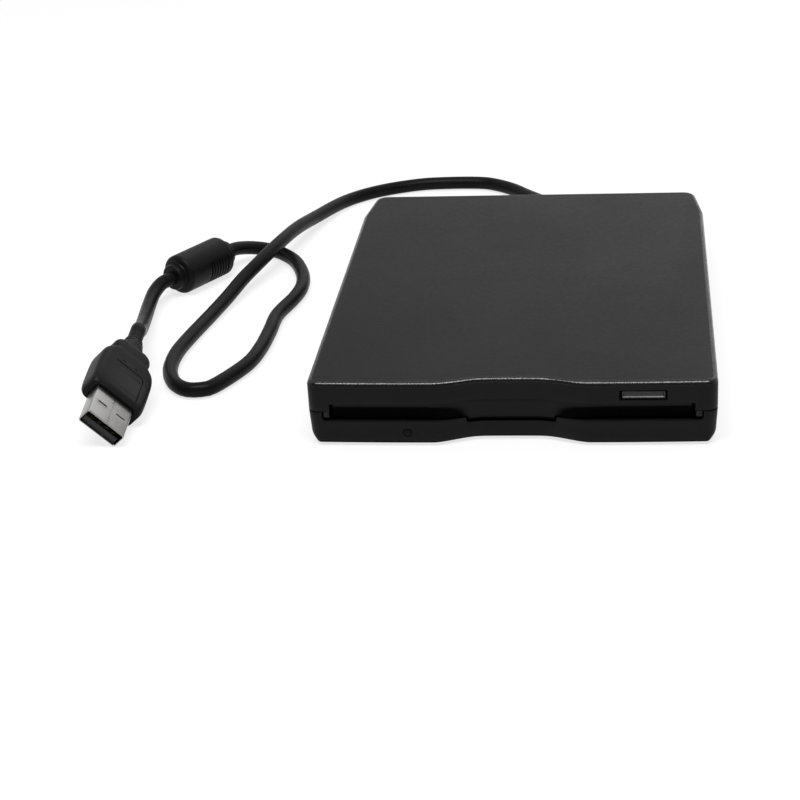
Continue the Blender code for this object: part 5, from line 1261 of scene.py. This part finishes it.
@dataclass
class LowerCase(Builder):
    """The lower half: a lofted tray with rolled base edges, slot lip, finger notch, foot and screw wells."""

    floor_top: float = 0.0023
    side_fillet: float = 0.0032
    side_fillet_share: float = 0.8
    front_fillet: float = 0.0004
    tongue_rise: float = 0.0010
    tongue: float = 0.0006
    cut_end: float = -0.0640
    lip: float = 0.0071
    lip_half: float = 0.0484
    lip_corner: float = 0.0010
    lip_cut_top: float = 0.0125
    notch_half: float = 0.0115
    notch_floor: float = 0.0056
    notch_top: float = 0.0100
    notch_round: float = 0.0006
    lamp_place: tuple[float, float] = (-0.0265, 0.0040)
    lamp_radius: float = 0.00120
    lamp_end: float = -0.0660
    under: float = -0.001
    foot_reach: tuple[float, float] = (0.043, 0.059)
    foot_radius: float = 0.0043
    foot_well: float = 0.0015
    screw_back: float = 0.0662
    screw_wells: tuple[tuple[float, float], ...] = ((0.0022, 0.0019), (0.0011, 0.004))
    steps: int = 8
    lip_round: float = 0.0002
    dark_start: float = 0.0001
    dark_run: float = 0.0003

    def rings(self) -> list[Ring]:
        """Shape the half's section.

        Returns:
            Loops from the inner floor, up the inside, over the tongue, down the outside and under the base.
        """
        shape = self.shape
        wall, front = shape.side_wall, shape.front_wall
        tongue_out, rise = wall - self.tongue, shape.seam + self.tongue_rise
        loops = [shape.ring(self.floor_top, wall, front), shape.ring(rise, wall, front),
                 shape.ring(rise, tongue_out, front - self.tongue),
                 shape.ring(shape.seam, tongue_out, front - self.tongue)]
        for angle in (90, 60, 30, 0):
            turn = math.radians(angle)
            loops.append(shape.ring(shape.seam - self.lip_round * (1 - math.sin(turn)),
                                    self.lip_round * (1 - math.cos(turn))))
        top, low = shape.seam - self.lip_round, shape.base + self.side_fillet
        for share in (0.5, 1.0):
            loops.append(shape.ring(top + (low - top) * share, shape.draft * share))
        for step in range(1, self.steps + 1):
            angle = math.radians(90 * step / self.steps)
            sides = shape.draft + self.side_fillet * self.side_fillet_share * (1 - math.cos(angle))
            ends = shape.draft + self.front_fillet * (1 - math.cos(angle))
            loops.append(shape.ring(shape.base + self.side_fillet * (1 - math.sin(angle)), sides, ends))
        return loops

    def cutters(self) -> list[bpy.types.Object]:
        """Make the bodies that are taken out of the tray.

        Returns:
            Cutters for lip, notch, lamp, lead, feet and screws.
        """
        bench, start = self.bench, self.shape.cut_start
        x, z = self.lamp_place
        found = [
            self.lip_cutter(),
            bench.block("cut", (-self.notch_half, start, self.notch_floor),
                        (self.notch_half, self.cut_end, self.notch_top), self.notch_round),
            bench.rod("cut", Vector((x, start, z)), Vector((x, self.lamp_end, z)), self.lamp_radius),
            self.lead_hole(),
        ]
        wide, deep = self.foot_reach
        for x in (-wide, wide):
            wells = [(y, self.foot_radius, self.foot_well, 64) for y in (-deep, deep)]
            wells += [(self.screw_back, radius, height, 48) for radius, height in self.screw_wells]
            for y, radius, height, sides in wells:
                found.append(bench.rod("cut", Vector((x, y, self.under)), Vector((x, y, height)), radius,
                                       sides))
        return found

    def lip_cutter(self) -> bpy.types.Object:
        """Make the wide opening above the lip.

        Returns:
            A body with rounded lower corners.
        """
        half, corner = self.lip_half, self.lip_corner
        points = [(half, self.lip_cut_top), (-half, self.lip_cut_top)]
        for centre, start in ((-half + corner, 180), (half - corner, 270)):
            for step in range(7):
                angle = math.radians(start + 15 * step)
                points.append((centre + corner * math.cos(angle),
                               self.lip + corner + corner * math.sin(angle)))
        rings = [[Vector((x, y, z)) for x, z in points] for y in (self.shape.cut_start, self.cut_end)]
        return self.bench.loft("cut", rings)

    def build(self) -> bpy.types.Object:
        """Make the tray, cut its openings and paint shade along its lowest edge.

        Returns:
            The lower half.
        """
        made = self.bench.loft("case_lower", self.rings())
        self.bench.cut(made, *self.cutters())
        self.ease_case(made)
        # Painted contact shadow: near black up to 0.1 mm above the base, fading out over the next 0.3 mm.
        start = self.shape.base + self.dark_start
        self.mark_painted_shade(made, lambda place: 1 - eased((place.z - start) / self.dark_run))
        return self.keep(made, Finish.CASE, "drive", "case_plastic", "lower_shell")


@dataclass
class SlotDoor(Builder):
    """The sprung door: a strip that slants back under its top edge, with a wide bulge for the finger."""

    half: float = 0.0454
    top: float = 0.01188
    thickness: float = 0.0012
    reach: float = 0.0019
    height: float = 0.0043
    roll: float = 0.18
    back: float = 0.0002
    bulge_flat: float = 0.0090
    bulge_half: float = 0.0260
    tab_half: float = 0.0112
    tab_side: float = 0.0005
    tab_drop: float = 0.0011
    axis_y: float = -0.0669
    axis_z: float = 0.0152
    pin: float = 0.0006
    pin_length: float = 0.0032
    pin_ease: float = 0.0001
    ease: float = 0.00012
    arm_inset: float = 0.0009
    arm_width: float = 0.0010
    arm_depth: float = 0.0018
    dark_depth: float = 0.00016
    dark_rise: float = 0.0009

    def section(self, x: float) -> Ring:
        """Outline the strip at one place.

        Args:
            x: Place along the strip.

        Returns:
            The closed loop from the top front edge down and up the rear.
        """
        shape = self.shape
        share = 1 - eased((abs(x) - self.bulge_flat) / (self.bulge_half - self.bulge_flat))
        lowered = 1 - eased((abs(x) - self.tab_half + self.tab_side) / self.tab_side)
        drop = self.height + self.tab_drop * lowered
        front = []
        for step in spread(0, 1, 33):
            z = self.top - drop * step
            slant = (math.hypot(step, self.roll) - self.roll) / (math.hypot(1, self.roll) - self.roll)
            curl = (self.reach - self.thickness / 3) * slant
            front.append((shape.front_at(x, z) + self.back + curl * (1 - share), z))
        rear = shape.front_at(x, self.top) + self.back
        behind = [(rear + self.reach, self.top - drop), (rear + self.thickness, self.top)]
        return [Vector((x, y, z)) for y, z in front + behind]

    def arm(self, side: int) -> bpy.types.Object:
        """Make one end arm with its pin.

        Args:
            side: -1 for the left end, 1 for the right.

        Returns:
            The arm, from the strip up to its pin.
        """
        outer, pin = self.half - self.arm_inset, self.pin
        foot = self.shape.front + self.shape.front_bow + self.back + self.thickness / 2
        low = self.shape.window_top - self.height / 2
        flat = [(foot, low), (foot + self.arm_depth, low), (self.axis_y + pin, self.axis_z - pin),
                (self.axis_y + pin, self.axis_z + pin), (self.axis_y - pin, self.axis_z + pin),
                (self.axis_y - 2 * pin, self.axis_z - pin), (foot + self.arm_depth / 3, self.top)]
        made = self.bench.loft("arm", [[Vector((side * x, y, z)) for y, z in flat]
                                       for x in (outer - self.arm_width, outer)])
        start, end = (Vector((side * x, self.axis_y, self.axis_z))
                      for x in (outer - self.arm_width / 2, outer + self.pin_length))
        return self.bench.join(made, self.bench.rod("pin", start, end, pin, 24, self.pin_ease))

    def painted_shade_at(self, place: Vector) -> float:
        """Judge how much painted shade the strip gets at a place.

        Args:
            place: A point of the strip.

        Returns:
            0 on its face, 1 where it slants back or turns under.
        """
        depth = place.y - self.shape.front_at(place.x, place.z) - self.back
        slanted = eased(depth / self.dark_depth)
        under = 1 - eased((place.z - (self.top - self.height - self.tab_drop)) / self.dark_rise)
        return max(slanted, under if abs(place.x) < self.tab_half else 0.0)

    def build(self) -> bpy.types.Object:
        """Make the strip and fuse its arms and pins.

        Returns:
            The door.
        """
        tab_flat, outer = self.tab_half - self.tab_side, self.shape.recess_outer
        right = spread(0, self.bulge_flat, 9)[:-1] + spread(self.bulge_flat, tab_flat, 5)[:-1]
        right += spread(tab_flat, self.tab_half, 9) + spread(self.tab_half, outer, 17)[1:-1]
        right += spread(outer, self.bulge_half, 9)[:-1] + spread(self.bulge_half, self.half, 9)
        stations = [-x for x in reversed(right[1:])] + right
        made = self.bench.loft("slot_door", [self.section(x) for x in stations])
        self.bench.join(made, self.arm(-1), self.arm(1))
        self.bench.soften(made, self.ease, 2, 50)
        self.bench.smooth(made, 35)
        # Painted shade where the strip slants back and along the lower edge of its middle.
        self.mark_painted_shade(made, self.painted_shade_at)
        return self.keep(made, Finish.CASE, "door", "case_plastic", "door_flap")


@dataclass
class EjectKey(Builder):
    """The eject key: a rounded bar with a dished face that leans back."""

    low: tuple[float, float, float] = (0.0280, -0.0706, 0.0133)
    high: tuple[float, float, float] = (0.0389, -0.0670, 0.0154)
    edge: float = 0.0002
    rim: float = 0.00018
    wall: float = 0.00022
    dish: float = 0.00020
    lean: float = 0.00022

    def build(self) -> bpy.types.Object:
        """Bevel a bar, inset its face and sink it, its top edge deeper than its lower one.

        Returns:
            The key.
        """
        made = self.bench.block("eject_key", self.low, self.high, self.edge, 4)
        bpy.ops.object.mode_set(mode="EDIT")
        bpy.ops.mesh.select_all(action="DESELECT")
        bpy.ops.mesh.select_mode(type="FACE")
        mesh = bmesh.from_edit_mesh(made.data)
        min(mesh.faces, key=lambda face: face.calc_center_median().y).select_set(True)
        bmesh.update_edit_mesh(made.data)
        bpy.ops.mesh.inset(thickness=self.rim)
        bpy.ops.mesh.inset(thickness=self.wall)
        mesh = bmesh.from_edit_mesh(made.data)
        for vert in mesh.verts:
            if vert.select:
                share = (vert.co.z - self.low[2]) / (self.high[2] - self.low[2])
                vert.co.y += self.dish + self.lean * share
        bmesh.update_edit_mesh(made.data)
        bpy.ops.object.mode_set(mode="OBJECT")
        self.bench.smooth(made, 20)
        return self.keep(made, Finish.KEY, "eject_slide_body", "case_plastic", "eject_button")


@dataclass
class Lamp(Builder):
    """The activity lamp: a domed lens in the front wall with a flange behind it."""

    radius: float = 0.00105
    dome: float = 0.00035
    flange: float = 0.0004
    wall_gap: float = 0.0003
    place: tuple[float, float, float] = (-0.0265, -0.07086, 0.0040)
    length: float = 0.0050

    def build(self) -> bpy.types.Object:
        """Turn the lens.

        Returns:
            The lamp.
        """
        wall = self.shape.front_wall + self.wall_gap
        wide, end = self.radius + self.flange, wall + self.flange
        profile = [(self.dome * (1 - math.sin(angle)), self.radius * math.cos(angle) * 0.999)
                   for angle in map(math.radians, (84, 72, 60, 45, 30, 15, 0))]
        profile += [(wall, self.radius), (wall, wide), (end, wide), (end, self.radius),
                    (self.length, self.radius)]
        made = self.bench.turned("lamp", profile, Vector(self.place), Vector((0, 1, 0)), 48)
        self.bench.smooth(made, 35)
        return self.keep(made, Finish.LENS, "drive", "lens", "led_light_pipe")


@dataclass
class Feet(Builder):
    """Four rubber feet with domed edges."""

    radius: float = 0.0040
    height: float = 0.0012
    reach: tuple[float, float] = (0.043, 0.059)
    easing: tuple[tuple[float, float], ...] = ((0.0, 0.0006), (0.00005, 0.00035), (0.0002, 0.0001),
                                               (0.00045, 0.0))

    def build(self) -> list[bpy.types.Object]:
        """Turn one foot and copy it to the four wells.

        Returns:
            The feet.
        """
        profile = [(rise, self.radius - inset) for rise, inset in self.easing] + [(self.height, self.radius)]
        pattern = self.bench.turned("foot", profile, Vector((0, 0, 0)), Vector((0, 0, 1)), 64)
        self.bench.smooth(pattern, 35)
        made = []
        for end, y in (("front", -self.reach[1]), ("rear", self.reach[1])):
            for side, x in (("left", -self.reach[0]), ("right", self.reach[0])):
                foot = bpy.data.objects.new(f"foot_{end}_{side}", pattern.data.copy())
                bpy.context.scene.collection.objects.link(foot)
                self.bench.move(foot, Matrix.Translation((x, y, 0)))
                made.append(self.keep(foot, Finish.RUBBER, "drive", "rubber", f"rubber_foot_{end}_{side}"))
        bpy.data.objects.remove(pattern)
        return made


@dataclass
class StrainRelief(Builder):
    """The ribbed boot where the lead leaves the rear wall."""

    start: tuple[float, float, float] = (0.0065, 0.0689, 0.0093)
    flange: float = 0.0046
    flange_start: float = -0.0015
    neck: float = 0.0034
    neck_length: float = 0.0024
    tip: float = 0.0029
    length: float = 0.0140
    ribs: int = 4
    groove: float = 0.0010
    ease: float = 0.0002
    taper: float = 0.97
    rib_end: float = 0.65

    def rib(self, at: float, step: float, radius: float, last: bool) -> list[tuple[float, float]]:
        """Outline one rib and the groove behind it.

        Args:
            at: Where the rib starts.
            step: Length of rib and groove together.
            radius: The rib's radius.
            last: True for the last rib, which has no groove.

        Returns:
            Pairs of distance and radius.
        """
        ease, end, low = self.ease, radius * self.taper, radius - self.groove
        points = [(at, radius - ease), (at + ease * 0.5, radius - ease * 0.3), (at + ease * 1.25, radius),
                  (at + step * 0.6, end + ease * 0.1), (at + step * 0.64, end - ease * 0.5)]
        if last:
            return points + [(at + step * self.rib_end, end - ease)]
        return points + [(at + step * self.rib_end, end - ease * 1.5), (at + step * 0.67, low + ease * 0.5),
                         (at + step * 0.72, low), (at + step * 0.93, low),
                         (at + step * 0.98, low + ease * 0.5)]

    def build(self) -> bpy.types.Object:
        """Turn the boot with rounded ribs.

        Returns:
            The boot.
        """
        wide, ease = self.flange, self.ease
        profile = [(self.flange_start, wide - ease), (self.flange_start + ease, wide), (-ease, wide),
                   (0.0, wide - ease), (0.0, self.neck), (self.neck_length, self.neck)]
        step = self.length / self.ribs
        for number in range(self.ribs):
            radius = wide + (self.tip - wide) * number / (self.ribs - 1)
            profile += self.rib(self.neck_length + number * step, step, radius, number == self.ribs - 1)
        made = self.bench.turned("strain_boot", profile, Vector(self.start), Vector((0, 1, 0)), 64)
        self.bench.smooth(made, 40)
        return self.keep(made, Finish.GRIP, "drive", "relief_vinyl", "strain_relief")


@dataclass
class FerriteBead(Builder):
    """The moulded bead: round body, grip grooves on both sides and a ringed collar at each end."""

    lead: Lead
    radius: float = 0.0061
    bore: float = 0.00290
    collar: float = 0.0041
    collar_length: float = 0.0026
    collar_shape: tuple[tuple[float, float], ...] = (
        (0.0, 0.86), (0.04615, 0.93), (0.30, 0.99), (0.38, 1.0), (0.44, 0.98), (0.50, 0.89), (0.54, 0.87),
        (0.72, 0.87),
        (0.77, 0.90), (0.81, 1.0), (0.88, 1.03), (1.0, 1.05))
    grooves: int = 7
    groove_depth: float = 0.0004
    groove_run: float = 0.0088
    groove_top: float = 0.30
    groove_base: float = 0.80
    groove_fade: float = 0.12

    def groove_at(self, distance: float, angle: float) -> float:
        """Work out the grooves.

        Args:
            distance: Distance along the bead.
            angle: Angle round it, nought at the side.

        Returns:
            What a groove adds to the radius there, which is nought or less.
        """
        start = self.collar_length + 6 * self.groove_depth
        share = (distance - start) / self.groove_run * self.grooves
        if not 0 < share < self.grooves:
            return 0.0
        off = abs(share - math.floor(share) - 0.5)
        deep = 1 - eased((off - 0.14) / 0.16)
        level = math.sin(angle)
        above = 1 - eased((level - self.groove_top) / self.groove_fade)
        below = 1 - eased((-level - self.groove_base) / self.groove_fade)
        return -self.groove_depth * 1.15 * deep * above * below

    def build(self) -> bpy.types.Object:
        """Turn the body with fine stations so that the grooves are shapes.

        Returns:
            The bead.
        """
        collar, total = self.collar_length, self.lead.bead_length
        edge = self.groove_depth * 3
        half = [(0.0, self.bore)] + [(collar * at, self.collar * share) for at, share in self.collar_shape]
        half.append((collar, self.radius - edge * 1.05))
        for angle in map(math.radians, (15, 30, 45, 60, 75, 90)):
            half.append((collar + edge * (1 - math.cos(angle)), self.radius - edge * (1 - math.sin(angle))))
        body = [(at, self.radius) for at in spread(collar + edge, total - collar - edge, 130)[1:-1]]
        profile = half + body + [(total - distance, radius) for distance, radius in reversed(half)]
        made = self.bench.turned("bead", profile, Vector(self.lead.bead_start), self.lead.along, 112,
                                 self.groove_at)
        self.bench.smooth(made, 40)
        return self.keep(made, Finish.GRIP, "drive", "moulded_vinyl", "ferrite_bead")


@dataclass
class Plug(Builder):
    """The plug: moulded grip with a waist and lined field, and its folded metal shell."""

    lead: Lead
    shell_width: float = 0.0120
    shell_height: float = 0.0045
    shell_length: float = 0.0114
    shell_seat: float = 0.0030
    shell_corner: float = 0.0006
    shell_ease: float = 0.00018
    sheet: float = 0.0003
    latch_x: float = 0.0030
    latch_half: float = 0.0014
    latch_span: tuple[float, float] = (0.0049, 0.0065)
    latch_depth: float = 0.00024
    seam_half: float = 0.00009
    tongue_half: float = 0.0006
    tongue_length: float = 0.0012
    tongues: tuple[float, ...] = (0.0014, 0.0090)
    overrun: float = 0.0005
    grip_half: float = 0.0080
    grip_thickness: float = 0.0078
    grip_length: float = 0.0238
    corner: float = 0.0019
    seat: float = 0.0003
    ease: float = 0.00014
    pocket_start: float = 0.005
    pocket_corner: float = 0.0008
    relief_length: float = 0.0061
    relief_radius: float = 0.0040
    relief_start: float = 0.02
    wings: tuple[tuple[float, ...], ...] = (
        (0.0, 1.0, 0.86), (0.04, 1.04, 0.94), (0.15, 1.06, 1.0), (0.50, 1.06, 1.0), (0.62, 1.03, 1.0),
        (0.70, 0.96, 1.0), (0.755, 0.82, 1.0), (0.80, 0.71, 0.98), (0.85, 0.73, 0.97), (0.91, 0.74, 0.95),
        (0.96, 0.70, 0.92), (1.0, 0.60, 0.85))
    relief: tuple[tuple[float, float], ...] = (
        (0.0, 0.95), (0.30, 0.86), (0.52, 0.78), (0.55, 0.76), (0.57, 0.64), (0.66, 0.64), (0.68, 0.74),
        (0.76, 0.71), (0.79, 0.70), (0.81, 0.59), (0.89, 0.59), (0.91, 0.66), (0.97, 0.64), (1.0, 0.60))
    line: float = 0.00036
    line_depth: float = 0.00040
    line_back: float = 0.0125
    line_left: float = 0.0042
    line_right: float = 0.0048
    line_front: float = 0.002
    line_above: float = 0.002
    line_turn: float = 0.0007
    marks: tuple[float, ...] = (-0.0021, 0.0019)
    mark_half: float = 0.0005
    mark_span: tuple[float, float] = (0.0016, 0.0020)

    def ring(self, back: float, half_width: float, half_height: float, corner: float, steps: int = 8) -> Ring:
        """Outline a rounded section in the plug's own frame.

        Args:
            back: Distance back from the nose.
            half_width: Half its width.
            half_height: Half its height.
            corner: Radius of its corners.
            steps: Segments of each corner.

        Returns:
            The loop.
        """
        corner = min(corner, half_height * 0.98, half_width * 0.98)
        loop: Ring = []
        for x_side, z_side, start in ((1, 1, 0), (-1, 1, 90), (-1, -1, 180), (1, -1, 270)):
            x, z = x_side * (half_width - corner), z_side * (half_height - corner)
            for step in range(steps + 1):
                angle = math.radians(start + 90 * step / steps)
                loop.append(Vector((x + corner * math.cos(angle), back, z + corner * math.sin(angle))))
        return loop

    @staticmethod
    def read(table: Sequence[tuple[float, ...]], at: float) -> list[float]:
        """Read a table smoothly between its rows.

        Args:
            table: Rows whose first column rises.
            at: Where to read it.

        Returns:
            The other columns there.
        """
        last = len(table) - 1
        index = max(number for number in range(last) if table[number][0] <= at)
        before, one, two, after = (table[min(last, max(0, index + step))] for step in (-1, 0, 1, 2))
        span = two[0] - one[0]
        t = (at - one[0]) / span
        found = []
        for a, b, c, d in zip(before[1:], one[1:], two[1:], after[1:]):
            leave = (c - a) / (two[0] - before[0]) * span
            reach = (d - b) / (after[0] - one[0]) * span
            found.append(b + leave * t + (3 * (c - b) - 2 * leave - reach) * t ** 2
                         + (2 * (b - c) + leave + reach) * t ** 3)
        return found

    def grip(self) -> bpy.types.Object:
        """Loft the grip through its sections and sink the pocket for the shell.

        Returns:
            The grip with its relief.
        """
        half = self.grip_thickness / 2
        start = self.shell_length + self.seat
        rings = []
        for at in sorted(set(spread(0, 1, 90) + [0.008, 0.012, 0.975, 0.985, 0.993])):
            wide, tall = self.read(self.wings, at)
            rings.append(self.ring(start + self.grip_length * at, self.grip_half * wide, half * tall,
                                   self.corner))
        end = start + self.grip_length
        for at, share in self.relief:
            radius = self.relief_radius * share
            back = end + self.relief_length * (at + self.relief_start)
            rings.append(self.ring(back, radius, min(radius, half * 0.8), radius))
        made = self.bench.loft("plug_body", rings)
        half_w, half_h = self.shell_width / 2 + self.seat, self.shell_height / 2 + self.seat
        pocket_end = self.shell_length + self.shell_seat + self.seat
        self.bench.cut(made, self.bench.loft("cut", [self.ring(y, half_w, half_h, self.pocket_corner)
                                                     for y in (self.pocket_start, pocket_end)]))
        self.bench.cut(made, *self.field(start, half))
        self.bench.soften(made, self.ease, 2, 55)
        self.bench.smooth(made, 38)
        self.bench.move(made, self.lead.plug_frame)
        return self.keep(made, Finish.GRIP, "drive", "moulded_vinyl", "plug_grip")

    def field(self, start: float, half: float) -> list[bpy.types.Object]:
        """Make the cutters for the line on the grip's face and the two marks behind it.

        Args:
            start: Front of the grip.
            half: Half its thickness.

        Returns:
            Cutters across the face, along its right side, round their corner, and for each mark.
        """
        bench, line, right, turn = self.bench, self.line, self.line_right, self.line_turn
        y = start + self.line_back
        low, high = half - self.line_depth, half + self.line_above
        ease = turn / 7
        found = [bench.block("cut", (-self.line_left, y, low), (right - turn - ease, y + line, high)),
                 bench.block("cut", (right, start + self.line_front, low),
                             (right + line, y - turn + ease, high))]
        bend = [(right - turn - 2 * ease, y), (right, y - turn), (right + line, y - turn + ease),
                (right - turn, y + line)]
        found.append(bench.loft("cut", [[Vector((x, back, z)) for x, back in bend] for z in (low, high)]))
        for x in self.marks:
            found.append(bench.block("cut", (x - self.mark_half, y + self.mark_span[0], low),
                                     (x + self.mark_half, y + self.mark_span[1], high)))
        return found

    def section(self, back: float, inset: float) -> Ring:
        """The shell's loop at one distance, drawn in by an inset."""
        corner = self.shell_corner - inset * 0.6
        return self.ring(back, self.shell_width / 2 - inset, self.shell_height / 2 - inset, corner, 5)

    def shell(self) -> bpy.types.Object:
        """Loft the folded metal shell, open at both ends, with its latch windows and folded seam.

        Returns:
            The shell.
        """
        end, ease, top = self.shell_length + self.shell_seat, self.shell_ease, self.shell_height / 2
        outer = [self.section(0.0, ease * 2 / 3), self.section(ease / 3, ease * 2 / 9),
                 self.section(ease, 0.0)]
        outer += [self.section(y, 0.0) for y in spread(0.001, end, 12)]
        inner = [self.section(y, self.sheet) for y in reversed(spread(ease, end, 8))]
        inner.append(self.section(0.0, self.sheet - ease * 4 / 9))
        made = self.bench.loft("plug_tube", outer + inner, closed=True)
        for x in (-self.latch_x, self.latch_x):
            self.bench.cut(made, self.bench.block(
                "cut", (x - self.latch_half, self.latch_span[0], top - self.latch_depth),
                (x + self.latch_half, self.latch_span[1], top * 2)))
        self.bench.cut(made, *self.seam(end, top))
        self.bench.smooth(made, 30)
        self.bench.move(made, self.lead.plug_frame)
        return self.keep(made, Finish.NICKEL, "drive", "nickel", "plug_shell")

    def seam(self, end: float, top: float) -> list[bpy.types.Object]:
        """Make the cutters for the line where the folded sheet meets, and for its two tongues.

        Args:
            end: Rear end of the shell.
            top: Half its height.

        Returns:
            One cutter for each straight line.
        """
        wide, out = self.seam_half, self.tongue_half
        lines = [((0.0, -self.overrun), (0.0, end + self.overrun))]
        for low in self.tongues:
            high = low + self.tongue_length
            lines += [((-out, low), (out, low)), ((-out * 0.6, high), (out * 0.6, high))]
        return [self.bench.block("cut", (one[0] - wide, one[1] - wide, top - self.sheet * 0.6),
                                 (two[0] + wide, two[1] + wide, top * 2)) for one, two in lines]

    def build(self) -> list[bpy.types.Object]:
        """Make the grip and the shell."""
        return [self.grip(), self.shell()]


@dataclass
class Mechanism(Builder):
    """The inner pieces, whose solids stay and get their finishes."""

    finishes: ClassVar[dict[str, Finish]] = {
        "case_screw": Finish.STEEL, "lid_screw": Finish.STEEL, "disk_carrier": Finish.ZINC,
        "mechanism_frame": Finish.ZINC,
        "mechanism_lid": Finish.ZINC, "eject_slider": Finish.ZINC, "eject_spring": Finish.STEEL,
        "door_spring": Finish.STEEL, "lever_spring": Finish.STEEL, "guide_rod": Finish.STEEL,
        "lead_screw": Finish.STEEL,
        "shutter_lever": Finish.STEEL, "spindle_rotor": Finish.STEEL, "spindle_stator": Finish.COPPER,
        "stepper_motor": Finish.ZINC, "drive_board": Finish.BOARD, "usb_board": Finish.BOARD,
        "board_ribbon": Finish.CABLE, "drive_chip": Finish.CHIP, "usb_chip": Finish.CHIP,
        "lead_socket": Finish.WHITE,
        "inner_lead": Finish.LEAD, "head_carriage": Finish.GREY, "lower_head": Finish.CHIP,
        "upper_head": Finish.CHIP,
        "upper_head_arm": Finish.STEEL, "slot_bezel": Finish.INNER, "write_protect_switch": Finish.INNER,
        "disk_in_switch": Finish.INNER, "plug_blade": Finish.CHIP, "plug_contact": Finish.GOLD,
    }

    def build(self) -> list[str]:
        """Dress every kept node.

        Returns:
            The names of the nodes that were dressed.
        """
        dressed = []
        for name in sorted(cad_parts):
            thing = bpy.data.objects.get(name)
            found = [finish for stem, finish in self.finishes.items() if name.startswith(stem)]
            if thing is not None and found:
                self.paint.on(thing, found[0])
                dressed.append(name)
        LOG.info("dressed %d inner nodes", len(dressed))
        return dressed


def main() -> None:
    """Build the scene: studio and lead first, then each sub-assembly."""
    logging.basicConfig(level=logging.INFO, format="%(name)s: %(message)s")
    bench, paint, shape = Bench(), Paint(), CaseShape()
    Studio().build()
    lead = Lead()
    long_lead, short_lead = lead.build(paint)
    relief = StrainRelief(bench, paint, shape).build()
    bead = FerriteBead(bench, paint, shape, lead).build()
    plug_pieces = Plug(bench, paint, shape, lead).build()
    UpperCase(bench, paint, shape).build()
    LowerCase(bench, paint, shape).build()
    SlotDoor(bench, paint, shape).build()
    EjectKey(bench, paint, shape).build()
    Lamp(bench, paint, shape).build()
    Feet(bench, paint, shape).build()
    Mechanism(bench, paint, shape).build()
    long_way, short_way = lead.routes()
    length_of(smooth_path(long_way, LONG_POINTS))
    length_of(smooth_path(short_way, SHORT_POINTS))


if __name__ == "__main__":
    main()
